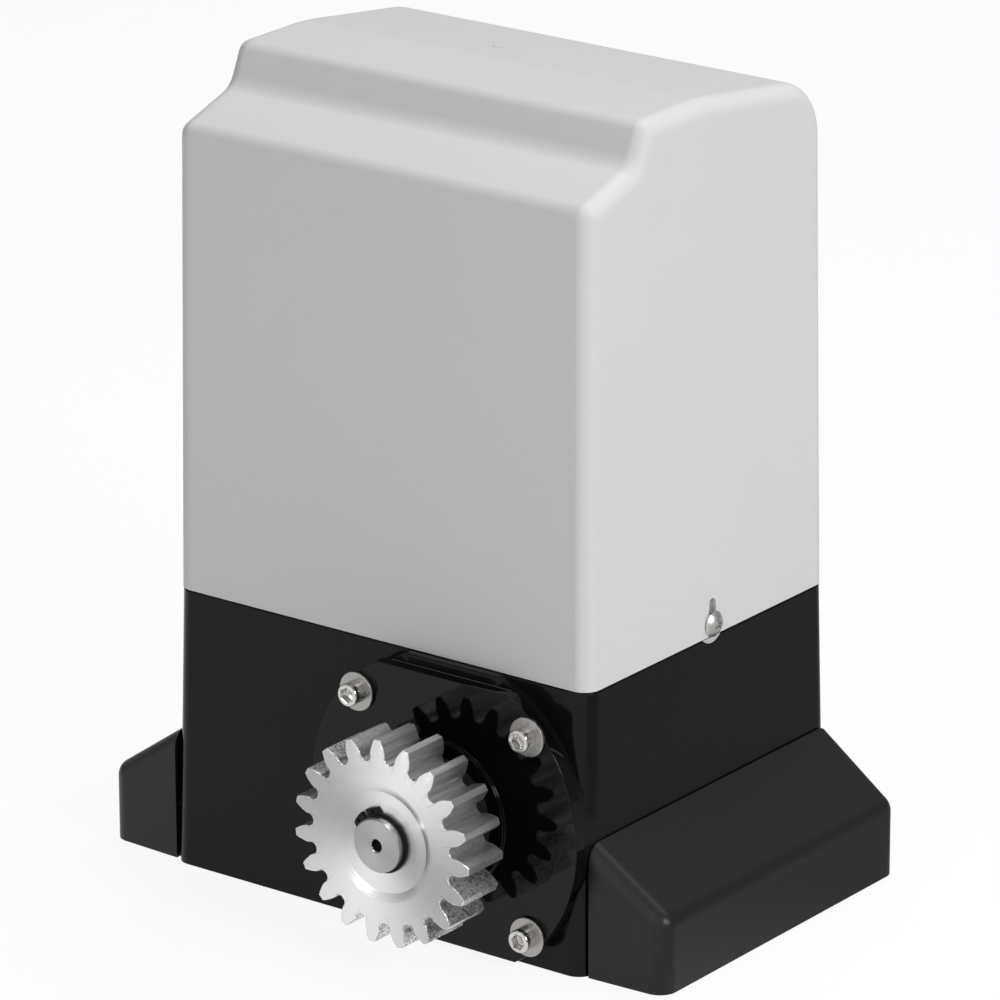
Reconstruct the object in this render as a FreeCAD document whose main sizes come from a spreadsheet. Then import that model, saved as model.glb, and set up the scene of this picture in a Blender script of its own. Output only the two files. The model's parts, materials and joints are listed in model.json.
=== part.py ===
import FreeCAD, Part
import math
import os
import re

Vector = FreeCAD.Vector
Rotation = FreeCAD.Rotation
Placement = FreeCAD.Placement

os.makedirs("parts", exist_ok=True)
doc = FreeCAD.newDocument("SlidingGateMotor")
sheet = doc.addObject("Spreadsheet::Sheet", "Size")

# Driving dimensions in millimetres
dims = {
    "baseWidth": 204.0,
    "baseDepth": 167.6,
    "seamWidth": 202.4,
    "seamDepth": 159.4,
    "seamHeight": 115.2,
    "baseEdgeRadius": 7.5,
    "seamGap": 0.4,
    "coverWall": 2.2,
    "coverTopHalfWidth": 99.4,
    "coverTopLevel": 340.0,
    "coverEdgeRadius": 7.0,
    "shoulderFront": 77.2,
    "shoulderHeight": 305.8,
    "riserFoot": 47.0,
    "riserFootHeight": 315.6,
    "riserTop": 40.0,
    "crestHeight": 331.8,
    "rearTopDepth": 75.9,
    "rearTopHeight": 322.0,
    "rearTopRadius": 24.0,
    "rimWall": 4.0,
    "rimRise": 12.3,
    "rimSideGap": 0.9,
    "rimFrontGap": 0.8,
    "deckDrop": 7.2,
    "deckThickness": 8.0,
    "floorTop": 9.0,
    "chamberWidth": 184.0,
    "housingWall": 10.7,
    "shaftX": 39.0,
    "shaftZ": 56.0,
    "flangeRise": 5.8,
    "flangeThickness": 5.4,
    "gasketThickness": 0.6,
    "flangeRadius": 64.0,
    "bossRadius": 63.0,
    "flangeFlatTop": 55.4,
    "flangeFlatBottom": 54.0,
    "collarRadius": 30.0,
    "collarHeight": 1.6,
    "spigotRadius": 44.0,
    "flangeDepth": 23.6,
    "screwSquare": 82.4,
    "flangeScrewHole": 3.2,
    "washerRadius": 7.95,
    "washerThickness": 1.6,
    "screwHeadRadius": 4.65,
    "screwHeadHeight": 5.7,
    "pinionReach": 39.1,
    "pinionWidth": 22.0,
    "pinionRecessDepth": 1.5,
    "pinionModule": 4.0,
    "shaftReach": 42.3,
    "shaftFrontRadius": 11.0,
    "keyWidth": 6.0,
    "shaftBearingRadius": 15.0,
    "wormX": -16.0,
    "wheelModule": 2.5,
    "wheelWidth": 20.0,
    "wormPitchRadius": 15.0,
    "rotorRadius": 33.0,
    "statorRadius": 63.0,
    "statorRise": 18.0,
    "statorLength": 70.0,
    "shieldRadius": 64.5,
    "tieBoltCircle": 59.0,
    "lugReach": 32.5,
    "lugHalfDepth": 76.0,
    "lugThickness": 11.0,
    "slotReach": 16.0,
    "slotY": 52.0,
    "slotRadius": 5.5,
    "slotLength": 20.0,
    "footGap": 0.4,
    "footReach": 35.3,
    "footInnerHeight": 54.5,
    "footOuterHeight": 30.2,
    "footInnerHalf": 81.0,
    "footOuterHalf": 79.3,
    "footWall": 2.5,
    "footEdgeRadius": 7.0,
    "footCornerRadius": 7.5,
    "sideScrewY": 1.6,
    "sideScrewRise": 5.5,
    "sideWasherRadius": 8.2,
    "sideHeadRadius": 5.1,
    "sideSlotRise": 15.8,
    "boardX": 66.0,
    "boardThickness": 1.6,
    "glandX": -60.0,
    "glandZ": 32.0,
    "cableRadius": 5.5,
    "fitGap": 0.03,
    "turnGap": 0.05,
}

# Sizes that follow from the driving ones, each as a formula and as a number
follows = {}
sizes = dict(dims)


def follow(name, text, number):
    follows[name] = text
    sizes[name] = number


follow("coverBottom", "seamHeight + seamGap", sizes["seamHeight"] + sizes["seamGap"])
follow("rimTop", "seamHeight + rimRise", sizes["seamHeight"] + sizes["rimRise"])
follow("rimOuterWidth", "seamWidth - 2 * coverWall - 2 * rimSideGap",
       sizes["seamWidth"] - 2 * sizes["coverWall"] - 2 * sizes["rimSideGap"])
follow("rimOuterDepth", "seamDepth - 2 * coverWall - 2 * rimFrontGap",
       sizes["seamDepth"] - 2 * sizes["coverWall"] - 2 * sizes["rimFrontGap"])
follow("deckTop", "seamHeight - deckDrop", sizes["seamHeight"] - sizes["deckDrop"])
follow("deckBottom", "deckTop - deckThickness", sizes["deckTop"] - sizes["deckThickness"])
follow("chamberDepth", "min(baseDepth; seamDepth) - 2 * housingWall",
       min(sizes["baseDepth"], sizes["seamDepth"]) - 2 * sizes["housingWall"])
follow("rearFace", "max(baseDepth; seamDepth) / 2",
       max(sizes["baseDepth"], sizes["seamDepth"]) / 2)
follow("flangeFront", "rearFace + flangeRise", sizes["rearFace"] + sizes["flangeRise"])
follow("spigotEnd", "flangeFront - flangeDepth", sizes["flangeFront"] - sizes["flangeDepth"])
follow("pinionFront", "flangeFront + pinionReach", sizes["flangeFront"] + sizes["pinionReach"])
follow("shaftEnd", "flangeFront + shaftReach", sizes["flangeFront"] + sizes["shaftReach"])
follow("statorBottom", "deckTop + statorRise", sizes["deckTop"] + sizes["statorRise"])
follow("statorTop", "statorBottom + statorLength", sizes["statorBottom"] + sizes["statorLength"])
follow("lugHalfLength", "baseWidth / 2 + lugReach", sizes["baseWidth"] / 2 + sizes["lugReach"])
follow("slotX", "baseWidth / 2 + slotReach", sizes["baseWidth"] / 2 + sizes["slotReach"])
follow("footInner", "baseWidth / 2 + footGap", sizes["baseWidth"] / 2 + sizes["footGap"])
follow("footOuter", "baseWidth / 2 + footReach", sizes["baseWidth"] / 2 + sizes["footReach"])
follow("sideScrewZ", "seamHeight + sideScrewRise", sizes["seamHeight"] + sizes["sideScrewRise"])
follow("sideSlotTop", "seamHeight + sideSlotRise", sizes["seamHeight"] + sizes["sideSlotRise"])
deckZ = sizes["deckTop"]

row = 1
for alias in dims:
    sheet.set("A" + str(row), alias)
    sheet.set("B" + str(row), str(dims[alias]))
    sheet.setAlias("B" + str(row), alias)
    row = row + 1
doc.recompute()

nodes = []


def formula(text):
    """Turn every dimension name in a formula into its sheet reference."""
    def swap(match):
        word = match.group(0)
        if word in follows:
            return "(" + formula(follows[word]) + ")"
        if word in dims:
            return "Size." + word
        return word
    return re.sub(r"[A-Za-z_][A-Za-z0-9_]*", swap, text)


def put(obj, prop, value):
    """Bind a property to a formula, or set it to a plain number."""
    if isinstance(value, str):
        obj.setExpression(prop, formula(value))
    else:
        setattr(obj, prop, value)


def turn(axis):
    """Rotation that points local Z along the named axis."""
    if axis == "x":
        return Rotation(Vector(0, 1, 0), 90)
    if axis == "-x":
        return Rotation(Vector(0, 1, 0), -90)
    if axis == "y":
        return Rotation(Vector(1, 0, 0), -90)
    if axis == "-y":
        return Rotation(Vector(1, 0, 0), 90)
    return Rotation()


def place(obj, x, y, z, rotation):
    """Place an object, with any coordinate given as a formula bound."""
    plain = [0.0 if isinstance(v, str) else float(v) for v in (x, y, z)]
    obj.Placement = Placement(Vector(plain[0], plain[1], plain[2]), rotation)
    for name, value in (("x", x), ("y", y), ("z", z)):
        if isinstance(value, str):
            obj.setExpression("Placement.Base." + name, formula(value))
    return obj


def box(name, x, y, z, length, width, height):
    obj = doc.addObject("Part::Box", name)
    put(obj, "Length", length)
    put(obj, "Width", width)
    put(obj, "Height", height)
    return place(obj, x, y, z, Rotation())


def cylinder(name, x, y, z, radius, height, axis="z"):
    obj = doc.addObject("Part::Cylinder", name)
    put(obj, "Radius", radius)
    put(obj, "Height", height)
    return place(obj, x, y, z, turn(axis))


def cone(name, x, y, z, radius1, radius2, height, axis="z"):
    obj = doc.addObject("Part::Cone", name)
    put(obj, "Radius1", radius1)
    put(obj, "Radius2", radius2)
    put(obj, "Height", height)
    return place(obj, x, y, z, turn(axis))


def torus(name, x, y, z, radius, tube, axis="z"):
    obj = doc.addObject("Part::Torus", name)
    put(obj, "Radius1", radius)
    put(obj, "Radius2", tube)
    return place(obj, x, y, z, turn(axis))


def prism(name, x, y, z, radius, height, axis="z"):
    obj = doc.addObject("Part::Prism", name)
    obj.Polygon = 6
    put(obj, "Circumradius", radius)
    put(obj, "Height", height)
    return place(obj, x, y, z, turn(axis))


def wedge(name, low, high, lowX, lowZ, highX, highZ, rotation):
    """Tapered block along local Y, with both end rectangles as formulas."""
    obj = doc.addObject("Part::Wedge", name)
    put(obj, "Ymin", low)
    put(obj, "Ymax", high)
    put(obj, "Xmin", lowX[0])
    put(obj, "Xmax", lowX[1])
    put(obj, "Zmin", lowZ[0])
    put(obj, "Zmax", lowZ[1])
    put(obj, "X2min", highX[0])
    put(obj, "X2max", highX[1])
    put(obj, "Z2min", highZ[0])
    put(obj, "Z2max", highZ[1])
    obj.Placement = Placement(Vector(0, 0, 0), rotation)
    return obj


def cut(name, base, *tools):
    obj = doc.addObject("Part::Cut", name)
    obj.Base = base
    obj.Tool = tools[0] if len(tools) == 1 else fuse(name + "Tools", *tools)
    return obj


def fuse(name, *parts):
    obj = doc.addObject("Part::MultiFuse", name)
    obj.Shapes = list(parts)
    return obj


def common(name, first, second):
    obj = doc.addObject("Part::Common", name)
    obj.Base = first
    obj.Tool = second
    return obj


def group(name, *parts):
    obj = doc.addObject("Part::Compound", name)
    obj.Links = list(parts)
    return obj


def fillet(name, source, rule):
    """Round the edges for which the rule gives a radius."""
    doc.recompute()
    obj = doc.addObject("Part::Fillet", name)
    obj.Base = source
    chosen = []
    for index, edge in enumerate(source.Shape.Edges):
        radius = rule(edge)
        if radius:
            chosen.append((index + 1, radius, radius))
    obj.Edges = chosen
    return obj


def fixed(name, shape):
    obj = doc.addObject("Part::Feature", name)
    obj.Shape = shape
    return obj


def extrude(name, source, direction, length):
    obj = doc.addObject("Part::Extrusion", name)
    obj.Base = source
    obj.DirMode = "Custom"
    obj.Dir = direction
    put(obj, "LengthFwd", length)
    obj.Solid = True
    return obj


def node(obj, name):
    obj.Label = name
    nodes.append(obj)
    return obj


def tube(name, x, y, z, outer, inner, height, axis="z"):
    """Plain ring with its bore."""
    step = {"x": (1, 0, 0), "y": (0, 1, 0), "z": (0, 0, 1)}[axis]
    body = cylinder(name + "Body", x, y, z, outer, height, axis)
    start = []
    for value, unit in zip((x, y, z), step):
        if unit:
            start.append("(" + str(value) + ") - 1")
        else:
            start.append(value)
    length = "(" + str(height) + ") + 2"
    hole = cylinder(name + "Bore", start[0], start[1], start[2], inner, length, axis)
    return cut(name, body, hole)


# Housing
zAxis = Rotation(Vector(1, 0, 0), 90)
baseBlock = wedge(
    "baseBlock", 0.0, "seamHeight",
    ("-baseWidth / 2", "baseWidth / 2"), ("-baseDepth / 2", "baseDepth / 2"),
    ("-seamWidth / 2", "seamWidth / 2"), ("-seamDepth / 2", "seamDepth / 2"), zAxis)
edgeRadius = dims["baseEdgeRadius"]


def upright(edge):
    span = edge.BoundBox
    return edgeRadius if span.ZLength > 60 else 0


baseRound = fillet("baseRound", baseBlock, upright)
rimBlock = box(
    "rimBlock", "-rimOuterWidth / 2", "-rimOuterDepth / 2", "deckTop - 2",
    "rimOuterWidth", "rimOuterDepth", "rimTop - deckTop + 2")


def corners(radius, low):
    def rule(edge):
        return radius if edge.BoundBox.ZLength > low else 0
    return rule


rimRound = fillet("rimRound", rimBlock, corners(5.0, 10))
lugs = box(
    "lugs", "-lugHalfLength", "-lugHalfDepth", 0.0,
    "2 * lugHalfLength", "2 * lugHalfDepth", "lugThickness")
lugsRound = fillet("lugsRound", lugs, corners(6.0, 5))
frontBoss = cylinder(
    "frontBoss", "shaftX", "-flangeFront + flangeThickness + gasketThickness", "shaftZ",
    "bossRadius", "flangeFront - flangeThickness - gasketThickness - chamberDepth / 2 - 0.6",
    "y")
bossTrim = box(
    "bossTrim", "shaftX - 80", "-flangeFront - 10.4", "shaftZ - flangeFlatBottom - 1.4",
    160.0, 60.0, "seamHeight - shaftZ + flangeFlatBottom + 1.4")
frontBossCut = common("frontBossCut", frontBoss, bossTrim)
rearBoss = cylinder(
    "rearBoss", "shaftX", "chamberDepth / 2 - 3", "shaftZ", 25.0,
    "rearFace - chamberDepth / 2 + 3.6", "y")
glandBoss = cylinder(
    "glandBoss", "glandX", "chamberDepth / 2 - 3", "glandZ", 16.0,
    "rearFace - chamberDepth / 2 + 3.6", "y")
outerShell = fuse(
    "outerShell", baseRound, rimRound, lugsRound, frontBossCut, rearBoss, glandBoss)
chamber = box(
    "chamber", "-chamberWidth / 2", "-chamberDepth / 2", "floorTop",
    "chamberWidth", "chamberDepth", "deckBottom - floorTop")
well = box(
    "well", "-rimOuterWidth / 2 + rimWall", "-rimOuterDepth / 2 + rimWall", "deckTop",
    "rimOuterWidth - 2 * rimWall", "rimOuterDepth - 2 * rimWall", 40.0)
deckHole = cylinder(
    "deckHole", "wormX", 0.0, "deckBottom - 1", "45.5 + fitGap", "deckTop - deckBottom + 2")
cableHole = box("cableHole", 70.0, -20.0, "deckBottom - 1", 14.0, 40.0, 12.0)
frontBore = cylinder(
    "frontBore", "shaftX", "-flangeFront - 5.4", "shaftZ", "spigotRadius + fitGap",
    "flangeFront - chamberDepth / 2 + 9.4", "y")
leverBore = cylinder(
    "leverBore", "shaftX", "chamberDepth / 2 - 9", "shaftZ", "8.0 + turnGap",
    "rearFace - chamberDepth / 2 + 15.2", "y")
glandBore = cylinder(
    "glandBore", "glandX", "chamberDepth / 2 - 9", "glandZ", "10.0 + fitGap",
    "rearFace - chamberDepth / 2 + 15.2", "y")
shellOpen = cut(
    "shellOpen", outerShell, chamber, well, deckHole, cableHole, frontBore, leverBore,
    glandBore)
rearWall = box(
    "rearWall", -8.0, 24.0, "floorTop - 1", 94.0, 16.0, "deckBottom - floorTop + 2")
rearSeat = cylinder("rearSeat", "shaftX", 20.0, "shaftZ", "26.0 + fitGap", 19.5, "y")
rearPass = cylinder("rearPass", "shaftX", 20.0, "shaftZ", 20.0, 24.0, "y")
noseRoom = cylinder("noseRoom", "wormX", 0.0, "deckBottom - 7.5", 29.0, 20.0)
spigotRoom = cylinder("spigotRoom", "wormX", 0.0, "deckBottom", "45.5 + fitGap", 12.0)
rearWallCut = cut("rearWallCut", rearWall, rearSeat, rearPass, noseRoom, spigotRoom)
wormBoss = cylinder("wormBoss", "wormX", 0.0, "floorTop - 1", 24.0, 16.0)
wormSeat = cylinder("wormSeat", "wormX", 0.0, 12.0, "17.5 + fitGap", 20.0)
wormBossCut = cut("wormBossCut", wormBoss, wormSeat)
shellFull = fuse("shellFull", shellOpen, rearWallCut, wormBossCut)
lowerSeatCut = cylinder("lowerSeatCut", "wormX", 0.0, 12.0, "17.5 + fitGap", 20.0)

flangeHoles = []
for sideX in (-1, 1):
    for sideZ in (-1, 1):
        tag = str(len(flangeHoles))
        flangeHoles.append(cylinder(
            "flangeTap" + tag, "shaftX + " + str(sideX) + " * screwSquare / 2",
            "-flangeFront - 0.4", "shaftZ + " + str(sideZ) + " * screwSquare / 2",
            "3.0 + fitGap", "flangeFront - chamberDepth / 2 - 2.1", "y"))
slots = []
for sideX in (-1, 1):
    for sideY in (-1, 1):
        tag = str(len(slots))
        centreX = str(sideX) + " * slotX"
        centreY = str(sideY) + " * slotY"
        slots.append(box(
            "slotMid" + tag, centreX + " - slotLength / 2 + slotRadius", centreY + " - slotRadius",
            -1.0, "slotLength - 2 * slotRadius", "2 * slotRadius", "lugThickness + 2"))
        for end in (-1, 1):
            slots.append(cylinder(
                "slotEnd" + tag + ("a" if end < 0 else "b"),
                centreX + " + " + str(end) + " * (slotLength / 2 - slotRadius)", centreY,
                -1.0, "slotRadius", "lugThickness + 2"))
tieTaps = []
for index in range(4):
    angle = math.radians(45 + 90 * index)
    tieTaps.append(cylinder(
        "tieTap" + str(index), "wormX + tieBoltCircle * " + str(round(math.cos(angle), 6)),
        "tieBoltCircle * " + str(round(math.sin(angle), 6)), "deckBottom - 1",
        "2.5 + fitGap", 12.0))
notches = []
for side, axis in ((-1, "-x"), (1, "x")):
    notches.append(cylinder(
        "notch" + str(side), str(side) + " * rimOuterWidth / 2", "sideScrewY", "sideScrewZ",
        "sideWasherRadius + 0.25", 8.0, axis))
    notches.append(cylinder(
        "sideTap" + str(side), str(side) + " * (rimOuterWidth / 2 - 8.1)", "sideScrewY",
        "sideScrewZ",
        "2.0 + fitGap", 12.0, axis))
housing = cut(
    "housing", shellFull, lowerSeatCut, *(flangeHoles + slots + tieTaps + notches))
node(housing, "gearbox_housing")

# Front flange, gasket, seal and their screws
plateDisc = cylinder(
    "plateDisc", "shaftX", "-flangeFront", "shaftZ", "flangeRadius", "flangeThickness", "y")
plateTrim = box(
    "plateTrim", "shaftX - 80", "-flangeFront - 10.4", "shaftZ - flangeFlatBottom",
    160.0, 60.0, "flangeFlatTop + flangeFlatBottom")
plate = common("plate", plateDisc, plateTrim)
collar = cylinder(
    "collar", "shaftX", "-flangeFront - collarHeight", "shaftZ", "collarRadius", 6.0, "y")
spigot = cylinder(
    "spigot", "shaftX", "-flangeFront + 1", "shaftZ", "spigotRadius",
    "flangeFront - spigotEnd - 1", "y")
plateFull = fuse("plateFull", plate, collar, spigot)
sealSeat = cylinder(
    "sealSeat", "shaftX", "-flangeFront - 2.4", "shaftZ", "23.5 + fitGap", 8.0, "y")
flangeBore = cylinder("flangeBore", "shaftX", "-flangeFront - 2.4", "shaftZ", 20.0, 30.0, "y")
bearingSeat = cylinder(
    "bearingSeat", "shaftX", "-flangeFront + 7.6", "shaftZ", "31.0 + fitGap", 20.0, "y")
flangeHoleSet = []
for sideX in (-1, 1):
    for sideZ in (-1, 1):
        tag = str(len(flangeHoleSet))
        flangeHoleSet.append(cylinder(
            "plateHole" + tag, "shaftX + " + str(sideX) + " * screwSquare / 2",
            "-flangeFront - 5.4",
            "shaftZ + " + str(sideZ) + " * screwSquare / 2", "flangeScrewHole", 14.0, "y"))
flange = cut("flange", plateFull, sealSeat, flangeBore, bearingSeat, *flangeHoleSet)
node(flange, "front_flange")

gasketDisc = cylinder(
    "gasketDisc", "shaftX", "-flangeFront + flangeThickness", "shaftZ",
    "bossRadius - 0.6", "gasketThickness", "y")
gasketTrim = box(
    "gasketTrim", "shaftX - 80", "-flangeFront - 10.4", "shaftZ - flangeFlatBottom + 4",
    160.0, 60.0, "flangeFlatTop + flangeFlatBottom - 4.2")
gasketPlate = common("gasketPlate", gasketDisc, gasketTrim)
gasketBore = cylinder(
    "gasketBore", "shaftX", "-flangeFront - 5.4", "shaftZ", "spigotRadius + fitGap", 30.0, "y")
gasketHoles = []
for sideX in (-1, 1):
    for sideZ in (-1, 1):
        tag = str(len(gasketHoles))
        gasketHoles.append(cylinder(
            "gasketHole" + tag, "shaftX + " + str(sideX) + " * screwSquare / 2",
            "-flangeFront - 5.4",
            "shaftZ + " + str(sideZ) + " * screwSquare / 2", "flangeScrewHole", 30.0, "y"))
node(cut("gasket", gasketPlate, gasketBore, *gasketHoles), "flange_gasket")

washers = []
screws = []
for sideX in (-1, 1):
    for sideZ in (-1, 1):
        tag = str(len(screws))
        x = "shaftX + " + str(sideX) + " * screwSquare / 2"
        z = "shaftZ + " + str(sideZ) + " * screwSquare / 2"
        washers.append(tube(
            "flangeWasher" + tag, x, "-flangeFront - washerThickness", z,
            "washerRadius", 3.2, "washerThickness", "y"))
        head = cylinder(
            "socketHead" + tag, x, "-flangeFront - washerThickness - screwHeadHeight", z,
            "screwHeadRadius", "screwHeadHeight", "y")
        shank = cylinder(
            "socketShank" + tag, x, "-flangeFront - washerThickness - 1", z, 3.0, 20.0, "y")
        socket = prism(
            "socketHex" + tag, x, "-flangeFront - washerThickness - screwHeadHeight - 1", z,
            3.05, 4.4, "y")
        joined = fuse("socketSolid" + tag, head, shank)
        screws.append(cut("socketScrew" + tag, joined, socket))
node(group("flangeWashers", *washers), "flange_washers")
node(group("flangeScrews", *screws), "flange_screws")

sealBody = cylinder("sealBody", "shaftX", "-flangeFront - 1.4", "shaftZ", 23.5, 7.0, "y")
sealHole = cylinder(
    "sealHole", "shaftX", "-flangeFront - 2.4", "shaftZ", "shaftBearingRadius + turnGap", 9.0,
    "y")
sealFace = cylinder("sealFace", "shaftX", "-flangeFront - 1.9", "shaftZ", 20.5, 1.2, "y")
node(cut("seal", sealBody, sealHole, sealFace), "shaft_seal")


def bearing(name, x, y, z, outer, inner, width, axis, ballCount, ballRadius):
    """Deep groove bearing as outer race, inner race and ball set."""
    middle = (outer + inner) / 2
    if axis == "y":
        mid = (x, y + width / 2, z)
    else:
        mid = (x, y, z + width / 2)
    ring = tube(name + "OuterRing", x, y, z, outer, middle + 2.6, width, axis)
    grooveOuter = torus(
        name + "OuterGroove", mid[0], mid[1], mid[2], middle, ballRadius + 0.06, axis)
    outerRace = cut(name + "OuterRace", ring, grooveOuter)
    core = tube(name + "InnerRing", x, y, z, middle - 2.6, inner + dims["fitGap"], width, axis)
    grooveInner = torus(
        name + "InnerGroove", mid[0], mid[1], mid[2], middle, ballRadius + 0.06, axis)
    innerRace = cut(name + "InnerRace", core, grooveInner)
    balls = []
    for index in range(ballCount):
        angle = 2 * math.pi * index / ballCount
        across = middle * math.cos(angle)
        along = middle * math.sin(angle)
        ball = doc.addObject("Part::Sphere", name + "Ball" + str(index))
        ball.Radius = ballRadius
        if axis == "y":
            spot = Vector(mid[0] + across, mid[1], mid[2] + along)
        else:
            spot = Vector(mid[0] + across, mid[1] + along, mid[2])
        ball.Placement = Placement(spot, Rotation())
        balls.append(ball)
    return outerRace, innerRace, balls


shaftX = dims["shaftX"]
shaftZ = dims["shaftZ"]
wormX = dims["wormX"]
front = bearing(
    "frontBearing", shaftX, 7.6 - sizes["flangeFront"], shaftZ, 31.0, 15.0, 16.0, "y", 9, 4.6)
node(front[0], "front_bearing_outer_race")
node(front[1], "front_bearing_inner_race")
node(group("frontBalls", *front[2]), "front_bearing_balls")
rear = bearing("rearBearing", shaftX, 24.5, shaftZ, 26.0, 12.5, 15.0, "y", 9, 3.9)
node(rear[0], "rear_bearing_outer_race")
node(rear[1], "rear_bearing_inner_race")
node(group("rearBalls", *rear[2]), "rear_bearing_balls")
lower = bearing("wormBearing", wormX, 0.0, 12.0, 17.5, 7.5, 11.0, "z", 8, 3.2)
upper = bearing("motorBearing", wormX, 0.0, deckZ + 99.0, 17.5, 7.5, 11.0, "z", 8, 3.2)


def gearWire(teeth, module, toothAngle, clearance, thinning, level):
    """Closed spur profile in the XY plane, with rounded roots."""
    pressure = math.radians(20)
    pitch = module * teeth / 2
    base = pitch * math.cos(pressure)
    tip = pitch + module
    root = pitch - clearance * module
    involute = math.tan(pressure) - pressure
    halfTooth = math.pi / (2 * teeth) - thinning / pitch

    def flank(radius):
        if radius <= base:
            return halfTooth + involute
        tilt = math.acos(base / radius)
        return halfTooth + involute - (math.tan(tilt) - tilt)

    def spot(radius, angle):
        return Vector(radius * math.cos(angle), radius * math.sin(angle), level)

    lowest = max(base, root + 0.15 * module)
    radii = [lowest + (tip - lowest) * step / 5 for step in range(6)]
    edges = []
    for tooth in range(teeth):
        centre = toothAngle + 2 * math.pi * tooth / teeth
        after = toothAngle + 2 * math.pi * (tooth + 1) / teeth
        rising = [spot(r, centre - flank(r)) for r in radii]
        falling = [spot(r, centre + flank(r)) for r in reversed(radii)]
        climb = Part.BSplineCurve()
        climb.interpolate(rising)
        edges.append(climb.toShape())
        edges.append(Part.Arc(rising[-1], spot(tip, centre), falling[0]).toShape())
        drop = Part.BSplineCurve()
        drop.interpolate(falling)
        edges.append(drop.toShape())
        valley = spot(root, (centre + after) / 2)
        nextStart = spot(radii[0], after - flank(radii[0]))
        edges.append(Part.Arc(falling[-1], valley, nextStart).toShape())
    return Part.Wire(edges)


# Pinion, its key and circlip
frontToBack = Rotation(Vector(1, 0, 0), 90)
pinionAngle = math.radians(111.3)
pinionProfile = fixed(
    "pinionProfile", gearWire(19, dims["pinionModule"], pinionAngle, 1.25, 0.0, 0.0))
pinionProfile.Placement = Placement(Vector(0, 0, 0), frontToBack)
pinionTeeth = extrude("pinionTeeth", pinionProfile, Vector(0, 1, 0), "pinionWidth")
place(pinionTeeth, "shaftX", "-pinionFront", "shaftZ", Rotation())
pinionRecess = cone(
    "pinionRecess", "shaftX", "-pinionFront", "shaftZ", 23.8, 20.9, "pinionRecessDepth", "y")
pinionBore = cylinder(
    "pinionBore", "shaftX", "-pinionFront - 6.3", "shaftZ", "shaftFrontRadius + fitGap",
    "pinionWidth + 13", "y")
keyWay = box(
    "keyWay", "shaftX - keyWidth / 2", "-pinionFront + 3", "shaftZ", "keyWidth", "pinionWidth",
    "shaftFrontRadius + 2.8")
pinion = cut("pinion", pinionTeeth, pinionRecess, pinionBore, keyWay)
node(pinion, "pinion")
key = box(
    "key", "shaftX - keyWidth / 2 + fitGap", "-pinionFront + 3.2",
    "shaftZ + shaftFrontRadius - 3.5",
    "keyWidth - 2 * fitGap", 16.0, 6.0)
node(key, "pinion_key")

clipRing = tube(
    "clipRing", "shaftX", "-pinionFront + pinionRecessDepth - 1.2", "shaftZ",
    "shaftFrontRadius + 1.1", "shaftFrontRadius - 0.5 + fitGap", 1.2, "y")
clipTurn = 128.2


def clipPoint(radius, degrees):
    """Point of the circlip in the XY plane, from the middle of its gap."""
    angle = math.radians(clipTurn + degrees)
    return Vector(radius * math.cos(angle), radius * math.sin(angle), 0)


def clipPlate(name, points, start, thickness):
    """Thin plate on the shaft axis from points in the XY plane."""
    profile = fixed(name + "Profile", Part.Face(Part.makePolygon(points + points[:1])))
    profile.Placement = Placement(Vector(0, 0, 0), frontToBack)
    plate = extrude(name, profile, Vector(0, 1, 0), thickness)
    return place(plate, "shaftX", start, "shaftZ", Rotation())


clipInside = sizes["shaftFrontRadius"] - 0.3
clipEars = []
clipHoles = []
for tag, side in (("A", -1), ("B", 1)):
    ear = [clipPoint(clipInside, side * 4.8)]
    ear.extend(clipPoint(clipInside + 3.6, side * (4.8 + 6.0 * step)) for step in range(5))
    ear.extend([clipPoint(clipInside + 1.3, side * 37.0), clipPoint(clipInside, side * 37.0)])
    clipEars.append(clipPlate(
        "clipEar" + tag, ear, "-pinionFront + pinionRecessDepth - 1.2", 1.2))
    spot = clipPoint(clipInside + 2.0, side * 19.8)
    clipHoles.append(cylinder(
        "clipEye" + tag, "shaftX + " + str(round(spot.x, 4)),
        "-pinionFront + pinionRecessDepth - 2.2", "shaftZ + " + str(round(spot.y, 4)),
        0.85, 4.0, "y"))
clipGap = clipPlate(
    "clipGap", [clipPoint(clipInside - 4, -4.8 * clipInside / (clipInside - 4)),
                clipPoint(clipInside + 3, -4.8), clipPoint(clipInside + 3, 4.8),
                clipPoint(clipInside - 4, 4.8 * clipInside / (clipInside - 4))],
    "-pinionFront + pinionRecessDepth - 2.2", 4.0)
clipOpen = cut("clipOpen", clipRing, clipGap)
clipFull = fuse("clipFull", clipOpen, *clipEars)
clipBore = cylinder(
    "clipBore", "shaftX", "-pinionFront + pinionRecessDepth - 3", "shaftZ",
    "shaftFrontRadius - 0.5 + fitGap", 5.0, "y")
node(cut("clip", clipFull, clipBore, *clipHoles), "circlip")

# Output shaft
shaftFront = cylinder(
    "shaftFront", "shaftX", "-shaftEnd + 0.6", "shaftZ", "shaftFrontRadius",
    "shaftEnd - pinionFront + pinionWidth + 1.4", "y")
shaftNose = cone(
    "shaftNose", "shaftX", "-shaftEnd", "shaftZ", "shaftFrontRadius - 0.6", "shaftFrontRadius",
    0.6, "y")
shaftMain = cylinder(
    "shaftMain", "shaftX", "-pinionFront + pinionWidth", "shaftZ", "shaftBearingRadius",
    "pinionFront - pinionWidth - spigotEnd", "y")
shaftCollar = cylinder(
    "shaftCollar", "shaftX", "-spigotEnd", "shaftZ", 18.5, "spigotEnd - 14", "y")
shaftWheel = cylinder("shaftWheel", "shaftX", -15.0, "shaftZ", 15.0, 30.0, "y")
shaftShoulder = cylinder("shaftShoulder", "shaftX", 14.0, "shaftZ", 14.9, 10.5, "y")
shaftRear = cylinder("shaftRear", "shaftX", 20.0, "shaftZ", 12.5, 22.0, "y")
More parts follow.
